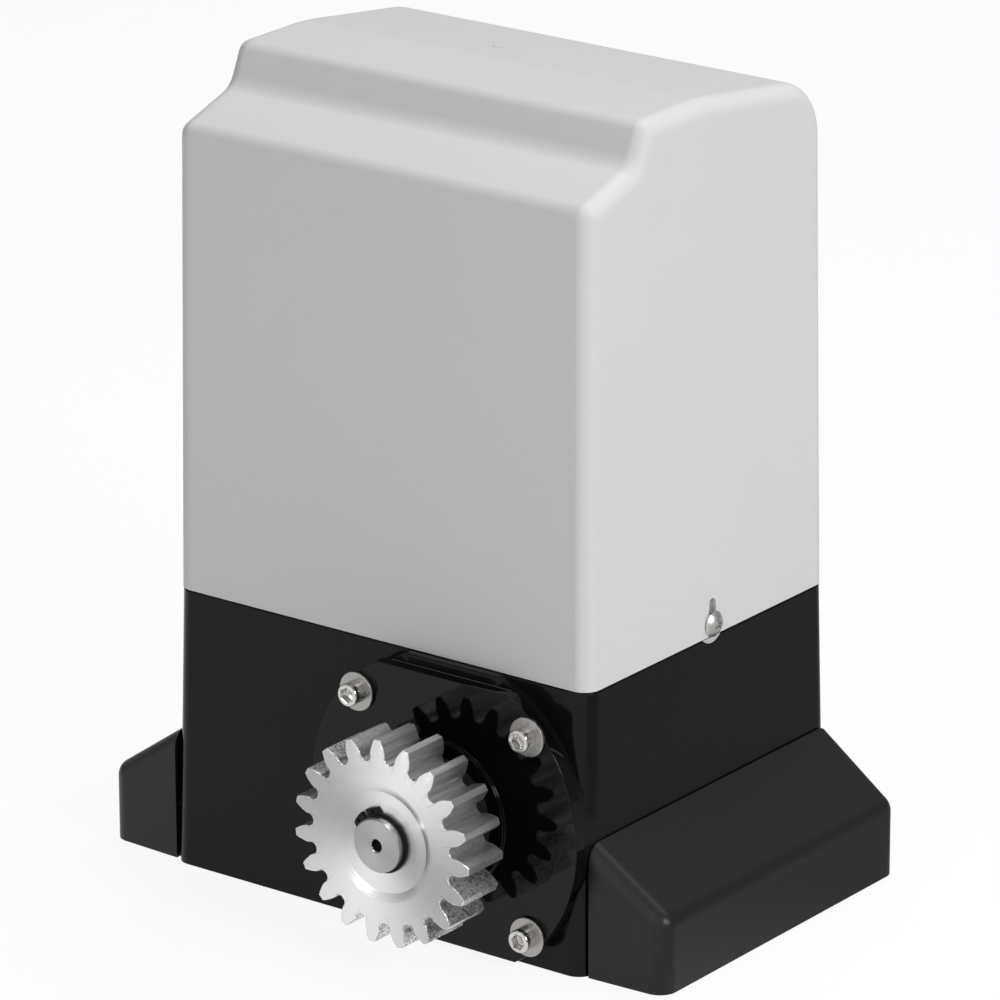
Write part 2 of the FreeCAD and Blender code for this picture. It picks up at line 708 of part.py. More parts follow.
shaftSolid = fuse(
    "shaftSolid", shaftFront, shaftNose, shaftMain, shaftCollar, shaftWheel, shaftShoulder,
    shaftRear)
shaftCentre = cone("shaftCentre", "shaftX", "-shaftEnd", "shaftZ", 2.95, 2.45, 0.5, "y")
shaftDrill = cylinder("shaftDrill", "shaftX", "-shaftEnd - 0.6", "shaftZ", 2.45, 14.0, "y")
shaftKeySeat = box(
    "shaftKeySeat", "shaftX - keyWidth / 2", "-pinionFront + 3.2",
    "shaftZ + shaftFrontRadius - 3.5", "keyWidth", 16.0, 10.0)
clipGroove = tube(
    "clipGroove", "shaftX", "-pinionFront + pinionRecessDepth - 1.25", "shaftZ",
    "shaftFrontRadius + 1.5", "shaftFrontRadius - 0.5", 1.3, "y")
plungerBore = cylinder("plungerBore", "shaftX", 12.0, "shaftZ", 5.0, 40.0, "y")
shaft = cut(
    "shaft", shaftSolid, shaftCentre, shaftDrill, shaftKeySeat, clipGroove, plungerBore)
node(shaft, "output_shaft")

# Worm wheel, worm shaft and rotor
wheelTeeth = 32
wormPitch = math.pi * dims["wheelModule"]
wheelRadius = dims["wheelModule"] * wheelTeeth / 2
halfWidth = dims["wheelWidth"] / 2
leadTilt = wormPitch / (2 * math.pi * dims["wormPitchRadius"])
twist = -halfWidth * leadTilt / wheelRadius
wheelFront = gearWire(wheelTeeth, dims["wheelModule"], math.pi - twist, 1.2, 0.10, halfWidth)
wheelBack = gearWire(wheelTeeth, dims["wheelModule"], math.pi + twist, 1.2, 0.10, -halfWidth)
wheelLoft = Part.makeLoft([wheelBack, wheelFront], True, True)
wheelBlank = fixed("wheelBlank", wheelLoft)
wheelBlank.Placement = Placement(Vector(0, 0, 0), frontToBack)
wheelPlaced = group("wheelPlaced", wheelBlank)
place(wheelPlaced, "shaftX", 0.0, "shaftZ", Rotation())
wheelHub = cylinder("wheelHub", "shaftX", -14.0, "shaftZ", 24.0, 28.0, "y")
wheelFull = fuse("wheelFull", wheelPlaced, wheelHub)
wheelBore = cylinder("wheelBore", "shaftX", -20.0, "shaftZ", "15.0 + fitGap", 40.0, "y")
wheelFaces = []
wheelFaces.append(tube("wheelFaceA", "shaftX", -12.0, "shaftZ", 33.0, 24.0, 6.0, "y"))
wheelFaces.append(tube("wheelFaceB", "shaftX", 6.0, "shaftZ", 33.0, 24.0, 6.0, "y"))
wheel = cut("wheel", wheelFull, wheelBore, *wheelFaces)
node(wheel, "worm_wheel")

threadLow = shaftZ - 22.0
threadHigh = shaftZ + 22.0
rootRadius = dims["wormPitchRadius"] - 1.2 * dims["wheelModule"]
tipRadius = dims["wormPitchRadius"] + 0.98 * dims["wheelModule"]
slope = math.tan(math.radians(20))
halfThread = wormPitch / 4 - 0.10


def threadPoint(radius, side, lift):
    drop = halfThread + (dims["wormPitchRadius"] - radius) * slope
    return Vector(radius, 0, lift + side * drop)


startLift = shaftZ - wormPitch / 2 - 2 * wormPitch
threadSection = Part.makePolygon([
    threadPoint(rootRadius - 0.4, -1, startLift),
    threadPoint(tipRadius, -1, startLift),
    threadPoint(tipRadius, 1, startLift),
    threadPoint(rootRadius - 0.4, 1, startLift),
    threadPoint(rootRadius - 0.4, -1, startLift)])
helix = Part.makeHelix(wormPitch, 5 * wormPitch, rootRadius)
helix.translate(Vector(0, 0, startLift))
threadShape = Part.Wire(helix).makePipeShell([threadSection], True, True)
thread = fixed("thread", threadShape)
place(thread, "wormX", 0.0, 0.0, Rotation())
wormCore = cylinder("wormCore", "wormX", 0.0, 26.0, rootRadius, "deckTop - 41")
wormFoot = cylinder("wormFoot", "wormX", 0.0, 13.0, 7.5, 13.5)
wormFootStep = cylinder("wormFootStep", "wormX", 0.0, 23.0, 9.5, 4.0)
wormNeck = cylinder("wormNeck", "wormX", 0.0, "deckTop - 21", 10.0, 44.0)
rotorSeat = cylinder("rotorSeat", "wormX", 0.0, "deckTop + 22", 9.5, 76.0)
rotorTail = cylinder("rotorTail", "wormX", 0.0, "deckTop + 97", 7.5, 34.0)
tailStep = cylinder("tailStep", "wormX", 0.0, "deckTop + 92", 9.0, 7.0)
wormFull = fuse(
    "wormFull", wormCore, thread, wormFoot, wormFootStep, wormNeck, rotorSeat, rotorTail,
    tailStep)
node(wormFull, "worm_shaft")

rotorCore = cylinder("rotorCore", "wormX", 0.0, "deckTop + 22", "rotorRadius", 62.0)
rotorHole = cylinder("rotorHole", "wormX", 0.0, "deckTop + 12", "9.5 + fitGap", 90.0)
rotorRingLow = tube("rotorRingLow", "wormX", 0.0, "deckTop + 16.5", "rotorRadius - 2", 22.0, 6.0)
rotorRingHigh = tube("rotorRingHigh", "wormX", 0.0, "deckTop + 83.5", "rotorRadius - 2", 22.0, 6.0)
rotorFull = fuse("rotorFull", rotorCore, rotorRingLow, rotorRingHigh)
rotorSlotA = cylinder("rotorSlotA", "wormX", 0.0, "deckTop + 12", "10.0 + fitGap", 11.0)
node(cut("rotor", rotorFull, rotorHole, rotorSlotA), "rotor_core")

fanHub = cylinder("fanHub", "wormX", 0.0, "deckTop + 118", 12.0, 12.0)
fanDisc = cylinder("fanDisc", "wormX", 0.0, "deckTop + 118", 46.0, 2.0)
fanBlades = []
for index in range(9):
    blade = box("fanBlade" + str(index), 10.0, -0.9, 1.5, 36.0, 1.8, 10.5)
    blade.Placement = Placement(
        Vector(wormX, 0, deckZ + 118.0), Rotation(Vector(0, 0, 1), 40 * index)).multiply(
        Placement(Vector(10.0, -0.9, 1.5), Rotation(Vector(0, 0, 1), 8)))
    fanBlades.append(blade)
fanFull = fuse("fanFull", fanHub, fanDisc, *fanBlades)
fanBore = cylinder("fanBore", "wormX", 0.0, "deckTop + 112", "7.5 + fitGap", 30.0)
node(cut("fan", fanFull, fanBore), "motor_fan")

# Motor shields, stator and windings
lowerDisc = cylinder("lowerDisc", "wormX", 0.0, "deckTop", "shieldRadius", 8.0)
lowerWall = tube("lowerWall", "wormX", 0.0, "deckTop + 7", "shieldRadius", 60.5,
                 "statorBottom - deckTop - 7")
lowerPads = []
for index in range(4):
    angle = math.radians(45 + 90 * index)
    lowerPads.append(cylinder(
        "lowerPad" + str(index), "wormX + 59 * " + str(round(math.cos(angle), 6)),
        "59 * " + str(round(math.sin(angle), 6)), "deckTop + 7", 5.2, "statorBottom - deckTop - 7"))
lowerSpigot = cylinder("lowerSpigot", "wormX", 0.0, "deckBottom", 45.5, 9.0)
lowerNose = cylinder("lowerNose", "wormX", 0.0, "deckTop - 15", 28.5, 9.0)
lowerAll = fuse("lowerAll", lowerDisc, lowerWall, lowerSpigot, lowerNose, *lowerPads)
lowerSeat = cylinder("lowerSeat", "wormX", 0.0, "deckTop - 16", "23.5 + fitGap", 15.0)
lowerPass = cylinder("lowerPass", "wormX", 0.0, "deckTop - 18", 12.0, 40.0)
sealPocket = cylinder("sealPocket", "wormX", 0.0, "deckTop + 1", "17.5 + fitGap", 20.0)
padHoles = []
for index in range(4):
    angle = math.radians(45 + 90 * index)
    padHoles.append(cylinder(
        "padHole" + str(index), "wormX + tieBoltCircle * " + str(round(math.cos(angle), 6)),
        "tieBoltCircle * " + str(round(math.sin(angle), 6)), "deckTop - 8", "2.5 + fitGap",
        40.0))
node(cut("lowerShield", lowerAll, lowerSeat, lowerPass, sealPocket, *padHoles),
     "motor_lower_shield")
middle = bearing("neckBearing", wormX, 0.0, deckZ - 15.0, 23.5, 10.0, 14.0, "z", 9, 3.9)
node(group("motorOuterRaces", lower[0], middle[0], upper[0]), "motor_bearing_outer_races")
node(group("motorInnerRaces", lower[1], middle[1], upper[1]), "motor_bearing_inner_races")
node(group("motorBalls", *(lower[2] + middle[2] + upper[2])), "motor_bearing_balls")
node(tube("oilSeal", "wormX", 0.0, "deckTop + 1", 17.5, "10.0 + turnGap", 6.0), "oil_seal")

upperWall = tube("upperWall", "wormX", 0.0, "statorTop", "shieldRadius", 60.5, 12.0)
upperDisc = cylinder("upperDisc", "wormX", 0.0, "statorTop + 11", "shieldRadius", 5.0)
upperBoss = cylinder("upperBoss", "wormX", 0.0, "statorTop + 11", 24.0, 14.0)
upperPads = []
for index in range(4):
    angle = math.radians(45 + 90 * index)
    upperPads.append(cylinder(
        "upperPad" + str(index), "wormX + 59 * " + str(round(math.cos(angle), 6)),
        "59 * " + str(round(math.sin(angle), 6)), "statorTop", 5.2, 12.0))
upperAll = fuse("upperAll", upperWall, upperDisc, upperBoss, *upperPads)
upperSeat = cylinder("upperSeat", "wormX", 0.0, "statorTop + 4", "17.5 + fitGap", 18.0)
upperPass = cylinder("upperPass", "wormX", 0.0, "statorTop + 4", 10.0, 40.0)
upperHoles = []
for index in range(4):
    angle = math.radians(45 + 90 * index)
    upperHoles.append(cylinder(
        "upperHole" + str(index), "wormX + tieBoltCircle * " + str(round(math.cos(angle), 6)),
        "tieBoltCircle * " + str(round(math.sin(angle), 6)), "statorTop - 6", "2.5 + fitGap",
        40.0))
vents = []
for index in range(8):
    angle = math.radians(22.5 + 45 * index)
    vents.append(cylinder(
        "vent" + str(index), "wormX + 42 * " + str(round(math.cos(angle), 6)),
        "42 * " + str(round(math.sin(angle), 6)), "statorTop + 4", 5.0, 30.0))
node(cut("upperShield", upperAll, upperSeat, upperPass, *(upperHoles + vents)),
     "motor_upper_shield")

statorDisc = cylinder(
    "statorDisc", "wormX", 0.0, "statorBottom", "statorRadius", "statorTop - statorBottom")
statorBore = cylinder(
    "statorBore", "wormX", 0.0, "statorBottom - 6", "rotorRadius + 0.5", 90.0)
statorSlots = []
bars = []
for index in range(12):
    rotation = Rotation(Vector(0, 0, 1), 30 * index)
    slot = doc.addObject("Part::Box", "statorSlot" + str(index))
    slot.Length = 16.2
    slot.Width = 8.2
    slot.Height = 90.0
    slot.Placement = Placement(Vector(wormX, 0, deckZ + 7.0), rotation).multiply(
        Placement(Vector(36.9, -4.1, 0), Rotation()))
    statorSlots.append(slot)
    bar = doc.addObject("Part::Box", "windingBar" + str(index))
    bar.Length = 16.0
    bar.Width = 8.0
    bar.Height = 74.0
    bar.Placement = Placement(Vector(wormX, 0, deckZ + 16.0), rotation).multiply(
        Placement(Vector(37.0, -4.0, 0), Rotation()))
    bars.append(bar)
statorHoles = []
for index in range(4):
    angle = math.radians(45 + 90 * index)
    statorHoles.append(cylinder(
        "statorHole" + str(index), "wormX + tieBoltCircle * " + str(round(math.cos(angle), 6)),
        "tieBoltCircle * " + str(round(math.sin(angle), 6)), "statorBottom - 6",
        "2.5 + fitGap", 90.0))
node(cut("stator", statorDisc, statorBore, *(statorSlots + statorHoles)), "stator_core")
endTurnLow = tube("endTurnLow", "wormX", 0.0, "deckTop + 9.5", 53.0, 37.0, 8.5)
endTurnHigh = tube("endTurnHigh", "wormX", 0.0, "deckTop + 88", 53.0, 37.0, 8.5)
node(fuse("windings", endTurnLow, endTurnHigh, *bars), "stator_windings")

tieBolts = []
for index in range(4):
    angle = math.radians(45 + 90 * index)
    x = "wormX + tieBoltCircle * " + str(round(math.cos(angle), 6))
    y = "tieBoltCircle * " + str(round(math.sin(angle), 6))
    rod = cylinder("tieRod" + str(index), x, y, "deckTop - 7", 2.5, 112.0)
    head = cylinder("tieHead" + str(index), x, y, "statorTop + 16", 4.2, 4.0)
    tieBolts.append(fuse("tieBolt" + str(index), rod, head))
node(group("tieBolts", *tieBolts), "motor_tie_bolts")

# Run capacitor on the motor
canPlate = box("canPlate", -36.0, -51.5, "deckTop + 134", 40.0, 103.0, 1.5)
clipLegs = []
for index, y in enumerate((-51.5, 50.0)):
    clipLegs.append(box("clipLeg" + str(index), -36.0, y, "statorTop + 16", 40.0, 1.5, 31.5))
clipFeet = []
for index, y in enumerate((-60.0, 50.0)):
    clipFeet.append(box("clipFoot" + str(index), -36.0, y, "statorTop + 16", 40.0, 10.0, 1.5))
saddle = tube("saddle", "wormX", -25.0, "deckTop + 156", 21.7, "20 + fitGap", 50.0, "y")
saddleTrim = box("saddleTrim", -60.0, -60.0, "deckTop + 156.5", 90.0, 120.0, 40.0)
saddleHalf = cut("saddleHalf", saddle, saddleTrim)
clipAll = fuse("clipAll", canPlate, saddleHalf, *(clipLegs + clipFeet))
clipFan = cylinder("clipFan", "wormX", 0.0, "deckTop + 112", 8.5, 21.0)
node(cut("capacitorClip", clipAll, clipFan), "capacitor_clip")
canBody = cylinder("canBody", "wormX", -46.0, "deckTop + 156", 20.0, 88.0, "y")
canRound = fillet("canRound", canBody, lambda e: 2.0 if e.BoundBox.ZLength > 30 else 0)
canStud = cylinder("canStud", "wormX", 41.0, "deckTop + 156", 4.0, 8.0, "y")
canPins = []
for index, dx in enumerate((-9.0, 9.0)):
    canPins.append(box(
        "canPin" + str(index), "wormX - 3 + (" + str(dx) + ")", -53.0, "deckTop + 155.6", 6.0, 8.0,
        0.8))
node(fuse("can", canRound, canStud, *canPins), "run_capacitor")

# Control board, its bracket and components
bracketWeb = box("bracketWeb", 57.0, -56.0, "deckTop", 1.6, 112.0, 177.0)
bracketFoot = box("bracketFoot", 57.0, -56.0, "deckTop", 20.0, 112.0, 1.6)
bracketWindow = box("bracketWindow", 50.0, -22.0, "deckTop + 17", 20.0, 44.0, 120.0)
footWindow = box("footWindow", 68.5, -22.0, "deckTop - 8", 14.0, 44.0, 20.0)
posts = []
postHoles = []
boardHoles = []
boardScrews = []
for y in (-50.0, 50.0):
    for z in (deckZ + 38.0, deckZ + 168.0):
        tag = str(len(posts))
        posts.append(cylinder("post" + tag, 58.0, y, z, 3.5, "boardX - 58", "x"))
        postHoles.append(cylinder("postHole" + tag, 56.0, y, z, "1.5 + fitGap", 20.0, "x"))
        boardHoles.append(cylinder("boardHole" + tag, 60.0, y, z, 1.7, 20.0, "x"))
        boardHead = cylinder("boardHead" + tag, "boardX + boardThickness", y, z, 2.8, 2.0, "x")
        boardShank = cylinder("boardShank" + tag, 60.0, y, z, 1.5, 9.0, "x")
        boardSlot = box(
            "boardSlot" + tag, "boardX + boardThickness + 1", y - 3.0, z - 0.4, 3.0, 6.0, 0.8)
        boardJoin = fuse("boardJoin" + tag, boardHead, boardShank)
        boardScrews.append(cut("boardScrew" + tag, boardJoin, boardSlot))
bracketAll = fuse("bracketAll", bracketWeb, bracketFoot, *posts)
node(cut("bracket", bracketAll, bracketWindow, footWindow, *postHoles), "board_bracket")
boardPlate = box("boardPlate", "boardX", -58.0, "deckTop + 30", "boardThickness", 116.0, 146.0)
node(cut("board", boardPlate, *boardHoles), "control_board")
node(group("boardScrews", *boardScrews), "board_screws")

terminalBody = box(
    "terminalBody", "boardX + boardThickness", -42.0, "deckTop + 34", 13.0, 84.0, 13.0)
terminalHoles = []
terminalScrews = []
for index in range(12):
    y = -38.5 + 7.0 * index
    terminalHoles.append(cylinder(
        "wireHole" + str(index), "boardX + boardThickness + 5", y, "deckTop + 33", 2.0, 7.0))
    terminalHoles.append(cylinder(
        "screwWell" + str(index), "boardX + boardThickness + 9", y, "deckTop + 42", 2.3, 6.0, "x"))
    terminalHead = cylinder(
        "terminalHead" + str(index), "boardX + boardThickness + 9", y, "deckTop + 42", 2.1, 2.0,
        "x")
    terminalSlot = box(
        "terminalSlot" + str(index), "boardX + boardThickness + 10.2", y - 3.0,
        "deckTop + 41.7", 3.0, 6.0, 0.6)
    terminalScrews.append(cut("terminalScrew" + str(index), terminalHead, terminalSlot))
node(cut("terminals", terminalBody, *terminalHoles), "terminal_block")
node(group("terminalScrews", *terminalScrews), "terminal_screws")

relays = []
for index in range(3):
    relay = box(
        "relay" + str(index), "boardX + boardThickness", -50.0 + 18.0 * index, "deckTop + 54",
        15.0, 15.5, 28.0)
    relays.append(relay)
node(group("relays", *relays), "relays")

coreBlock = box("coreBlock", "boardX + boardThickness + 3", 8.0, "deckTop + 64", 18.0, 42.0, 36.0)
coreWindowA = box("coreWindowA", 60.0, 15.0, "deckTop + 71", 40.0, 7.0, 22.0)
coreWindowB = box("coreWindowB", 60.0, 36.0, "deckTop + 71", 40.0, 7.0, 22.0)
node(cut("core", coreBlock, coreWindowA, coreWindowB), "transformer_core")
coilBlock = box("coilBlock", "boardX + boardThickness", 15.3, "deckTop + 71.3", 24.0, 27.4, 21.4)
coilHole = box("coilHole", "boardX + boardThickness + 2.8", 21.8, "deckTop + 62", 18.4, 14.4, 40.0)
node(cut("coil", coilBlock, coilHole), "transformer_coil")

holderBody = box("holderBody", "boardX + boardThickness", -50.0, "deckTop + 90", 9.0, 24.0, 8.0)
holderPocket = box(
    "holderPocket", "boardX + boardThickness + 2", -49.0, "deckTop + 91.2", 10.0, 22.0, 5.6)
node(cut("holder", holderBody, holderPocket), "fuse_holder")
node(cylinder(
    "fuse", "boardX + boardThickness + 4.6", -48.0, "deckTop + 94", 2.5, 20.0, "y"), "fuse")

filterCans = []
for index, (y, z, r) in enumerate(((-44.0, 114.0, 6.0), (-28.0, 114.0, 6.0), (-36.0, 130.0, 5.0))):
    filterCans.append(cylinder(
        "filterCan" + str(index), "boardX + boardThickness", y, deckZ + z, r, 19.0, "x"))
node(group("filterCans", *filterCans), "filter_capacitors")
node(box(
    "chip", "boardX + boardThickness", 12.0, "deckTop + 113", 3.0, 10.0, 30.0), "microcontroller")
node(box(
    "receiver", "boardX + boardThickness", -18.0, "deckTop + 148", 6.0, 34.0, 16.0),
    "radio_receiver")
buttonBase = box("buttonBase", "boardX + boardThickness", 33.0, "deckTop + 149", 4.0, 8.0, 8.0)
buttonBore = cylinder(
    "buttonBore", "boardX + boardThickness + 1.2", 37.0, "deckTop + 153", 2.15, 5.0, "x")
node(cut("buttonBody", buttonBase, buttonBore), "learn_button_base")
node(cylinder("button", "boardX + boardThickness + 2.2", 37.0, "deckTop + 153", 2.08, 5.0, "x"),
     "learn_button")

# Limit sensor and cable gland
sensorBody = box("sensorBody", -86.0, "-rimOuterDepth / 2 + 4.7", "deckTop", 40.0, 10.0, 24.0)
sensorFoot = box("sensorFoot", -86.0, "-rimOuterDepth / 2 + 4.7", "deckTop", 40.0, 10.4, 3.0)
node(fuse("sensor", sensorBody, sensorFoot), "limit_sensor")
glandTube = cylinder("glandTube", "glandX", "chamberDepth / 2 - 7", "glandZ", 10.0,
    "rearFace - chamberDepth / 2 + 7.6", "y")
glandHex = prism("glandHex", "glandX", "rearFace + 0.6", "glandZ", 14.0, 6.0, "y")
glandNose = cylinder("glandNose", "glandX", "rearFace + 6.6", "glandZ", 9.0, 6.0, "y")
glandPass = cylinder("glandPass", "glandX", "chamberDepth / 2 - 9", "glandZ", "cableRadius",
    "rearFace - chamberDepth / 2 + 45.2", "y")
glandFull = fuse("glandFull", glandTube, glandHex, glandNose)
node(cut("gland", glandFull, glandPass), "cable_gland")
domeHex = prism("domeHex", "glandX", "rearFace + 6.8", "glandZ", 13.0, 9.0, "y")
domeCap = cone("domeCap", "glandX", "rearFace + 15.8", "glandZ", 11.0, 7.5, 5.0, "y")
domeFull = fuse("domeFull", domeHex, domeCap)
domeInside = cylinder("domeInside", "glandX", "rearFace + 6.2", "glandZ", "9.0 + fitGap", 8.0, "y")
domePass = cylinder(
    "domePass", "glandX", "rearFace - 3.8", "glandZ", "cableRadius + 0.6", 40.0, "y")
node(cut("dome", domeFull, domeInside, domePass), "gland_dome_nut")
lockHex = prism("lockHex", "glandX", "chamberDepth / 2 - 5.6", "glandZ", 13.5, 5.6, "y")
lockPass = cylinder(
    "lockPass", "glandX", "chamberDepth / 2 - 9", "glandZ", "10.0 + fitGap", 30.0, "y")
glandLock = cut("glandLock", lockHex, lockPass)
node(glandLock, "gland_lock_nut")


def roundedPath(points, radii):
    """Closed wire in the YZ plane with each corner rounded by an arc."""
    count = len(points)
    starts = []
    ends = []
    middles = []
    for index in range(count):
        here = points[index]
        before = (points[index - 1] - here).normalize()
        after = (points[(index + 1) % count] - here).normalize()
        radius = radii[index]
        if radius == 0:
            starts.append(here)
            ends.append(here)
            middles.append(None)
            continue
        half = math.acos(max(-1.0, min(1.0, before.dot(after)))) / 2
        reach = radius / math.tan(half)
        bisector = (before + after).normalize()
        starts.append(here + before * reach)
        ends.append(here + after * reach)
        middles.append(here + bisector * (radius / math.sin(half) - radius))
    edges = []
    for index in range(count):
        if middles[index] is not None:
            edges.append(Part.Arc(starts[index], middles[index], ends[index]).toShape())
        edges.append(Part.LineSegment(ends[index], starts[(index + 1) % count]).toShape())
    return Part.Wire(edges)


def insetPath(points, radii, inset):
    """Move every side of the path inwards, and adjust the corner radii."""
    count = len(points)
    lines = []
    for index in range(count):
        here = points[index]
        there = points[(index + 1) % count]
        along = (there - here).normalize()
        inward = Vector(0, along.z, -along.y)
        lines.append((here + inward * inset[index], along))
    moved = []
    grown = []
    for index in range(count):
        first = lines[index - 1]
        second = lines[index]
        across = second[0] - first[0]
        cross = first[1].y * second[1].z - first[1].z * second[1].y
        reach = (across.y * second[1].z - across.z * second[1].y) / cross
        moved.append(first[0] + first[1] * reach)
        if radii[index] == 0:
            grown.append(0)
        elif cross < 0:
            grown.append(max(radii[index] - dims["coverWall"], 1.0))
        else:
            grown.append(radii[index] + dims["coverWall"])
    return moved, grown


# Motor cover
low = sizes["coverBottom"]
path = [
    Vector(0, -dims["seamDepth"] / 2, low),
    Vector(0, -dims["shoulderFront"], dims["shoulderHeight"]),
    Vector(0, -dims["riserFoot"], dims["riserFootHeight"]),
    Vector(0, -dims["riserTop"], dims["crestHeight"]),
    Vector(0, -2.0, dims["crestHeight"] + 0.2),
    Vector(0, dims["rearTopDepth"], dims["rearTopHeight"]),
    Vector(0, dims["seamDepth"] / 2, low)]
radii = [0, 6.0, 10.0, 6.0, 90.0, dims["rearTopRadius"], 0]
wall = dims["coverWall"]
inset = [wall, wall, wall, wall, wall, wall, -5.0]
outerProfile = fixed("outerProfile", roundedPath(path, radii))
innerPoints, innerRadii = insetPath(path, radii, inset)
innerProfile = fixed("innerProfile", roundedPath(innerPoints, innerRadii))
outerSlab = extrude("outerSlab", outerProfile, Vector(1, 0, 0), "seamWidth + 20")
place(outerSlab, "-seamWidth / 2 - 10", 0.0, 0.0, Rotation())
innerSlab = extrude("innerSlab", innerProfile, Vector(1, 0, 0), "seamWidth + 20")
place(innerSlab, "-seamWidth / 2 - 10", 0.0, 0.0, Rotation())
outerTaper = wedge(
    "outerTaper", "coverBottom", "coverTopLevel",
    ("-seamWidth / 2", "seamWidth / 2"), (-100.0, 100.0),
    ("-coverTopHalfWidth", "coverTopHalfWidth"), (-100.0, 100.0), zAxis)
innerTaper = wedge(
    "innerTaper", "coverBottom - 10", "coverTopLevel",
    ("-seamWidth / 2 + coverWall", "seamWidth / 2 - coverWall"), (-100.0, 100.0),
    ("-coverTopHalfWidth + coverWall", "coverTopHalfWidth - coverWall"), (-100.0, 100.0), zAxis)
outerRaw = common("outerRaw", outerSlab, outerTaper)
innerRaw = common("innerRaw", innerSlab, innerTaper)


def sideEdge(radius, bottom, halfLow):
    def rule(edge):
        span = edge.BoundBox
        flat = abs(span.ZMin - span.ZMax) < 0.01 and abs(span.ZMin - bottom) < 1.0
        across = span.XMax - span.XMin
        if flat or across > 20 or abs(span.XMin) < halfLow:
            return 0
        return radius
    return rule


outerCover = fillet("outerCover", outerRaw, sideEdge(dims["coverEdgeRadius"], low, 90))
innerCover = fillet(
    "innerCover", innerRaw, sideEdge(dims["coverEdgeRadius"] - wall, low - 5, 90))
slotsSide = []
for side in (-1, 1):
    startX = "-seamWidth / 2 - 8.8" if side < 0 else "seamWidth / 2 - 11.2"
    slotBox = box(
        "sideSlot" + str(side), startX, "sideScrewY - 2.3", "coverBottom - 1",
        20.0, 4.6, "sideSlotTop - coverBottom - 1.3")
    slotTop = cylinder(
        "sideSlotTop" + str(side), startX, "sideScrewY", "sideSlotTop - 2.3", 2.3, 20.0, "x")
    slotsSide.extend([slotBox, slotTop])
gateRing = tube("gateRing", -14.7, 19.4, 328.9, 3.2, 2.5, 6.0)
cover = cut("cover", outerCover, innerCover, gateRing, *slotsSide)
node(cover, "motor_cover")

# Side screws with washers
sideWashers = []
sideScrews = []
for side, axis in ((-1, "-x"), (1, "x")):
    tag = str(side)
    washerX = str(side) + " * (rimOuterWidth / 2)"
    ring = cylinder("sideDisc" + tag, washerX, "sideScrewY", "sideScrewZ",
                    "sideWasherRadius", 0.6, axis)
    hole = cylinder("sideHole" + tag, str(side) + " * (rimOuterWidth / 2 - 8.1)",
                    "sideScrewY", "sideScrewZ", 2.2, 20.0, axis)
    lipDisc = cylinder(
        "sideLipDisc" + tag, washerX, "sideScrewY", "sideScrewZ", "sideWasherRadius",
        "seamWidth / 2 - 0.3 - rimOuterWidth / 2", axis)
    keepX = "rimOuterWidth / 2 - 1" if side > 0 else "-rimOuterWidth / 2 - 5"
    lipKeep = box(
        "sideLipKeep" + tag, keepX, "sideScrewY - 12", "sideScrewZ - 12", 6.0, 24.0,
        "seamHeight - 0.2 - sideScrewZ + 12")
    lip = common("sideLip" + tag, lipDisc, lipKeep)
    washerAll = fuse("sideWasherAll" + tag, ring, lip)
    sideWashers.append(cut("sideWasher" + tag, washerAll, hole))
    blank = cylinder("panBlank" + tag, str(side) + " * (seamWidth / 2 + 0.3)", "sideScrewY",
                     "sideScrewZ", "sideHeadRadius", 3.1, axis)
    dome = doc.addObject("Part::Sphere", "panDome" + tag)
    dome.Radius = 7.01
    place(dome, str(side) + " * (seamWidth / 2 - 3.61)", "sideScrewY", "sideScrewZ", Rotation())
    head = common("panHead" + tag, blank, dome)
    shank = cylinder("panShank" + tag, str(side) + " * (rimOuterWidth / 2 - 5.1)",
                     "sideScrewY", "sideScrewZ", 2.0, 9.6, axis)
    screwAll = fuse("panAll" + tag, head, shank)
    crossX = "seamWidth / 2" if side > 0 else "-seamWidth / 2 - 6"
    crossA = box("crossA" + tag, crossX, "sideScrewY - 0.5", "sideScrewZ - 2.2", 6.0, 1.0, 4.4)
    crossB = box("crossB" + tag, crossX, "sideScrewY - 2.2", "sideScrewZ - 0.5", 6.0, 4.4, 1.0)
    keep = cylinder("crossKeep" + tag, str(side) + " * (seamWidth / 2 + 1.6)", "sideScrewY",
                    "sideScrewZ", 3.4, 3.0, axis)
    crossAll = fuse("crossAll" + tag, crossA, crossB)
    cross = common("cross" + tag, crossAll, keep)
    sideScrews.append(cut("panScrew" + tag, screwAll, cross))
node(group("sideWashers", *sideWashers), "cover_washers")
node(group("sideScrews", *sideScrews), "cover_screws")

# Bolt covers over the two feet


def footRule(inner, outer, radius, corner):
    def rule(edge):
        span = edge.BoundBox
        reach = sorted((abs(span.XMin), abs(span.XMax)))
        if reach[1] < inner + 0.5:
            return 0
        if span.ZMax < 0.1:
            return 0
        if reach[0] > outer - 0.5 and span.ZLength > 5:
            return corner
        return radius
    return rule


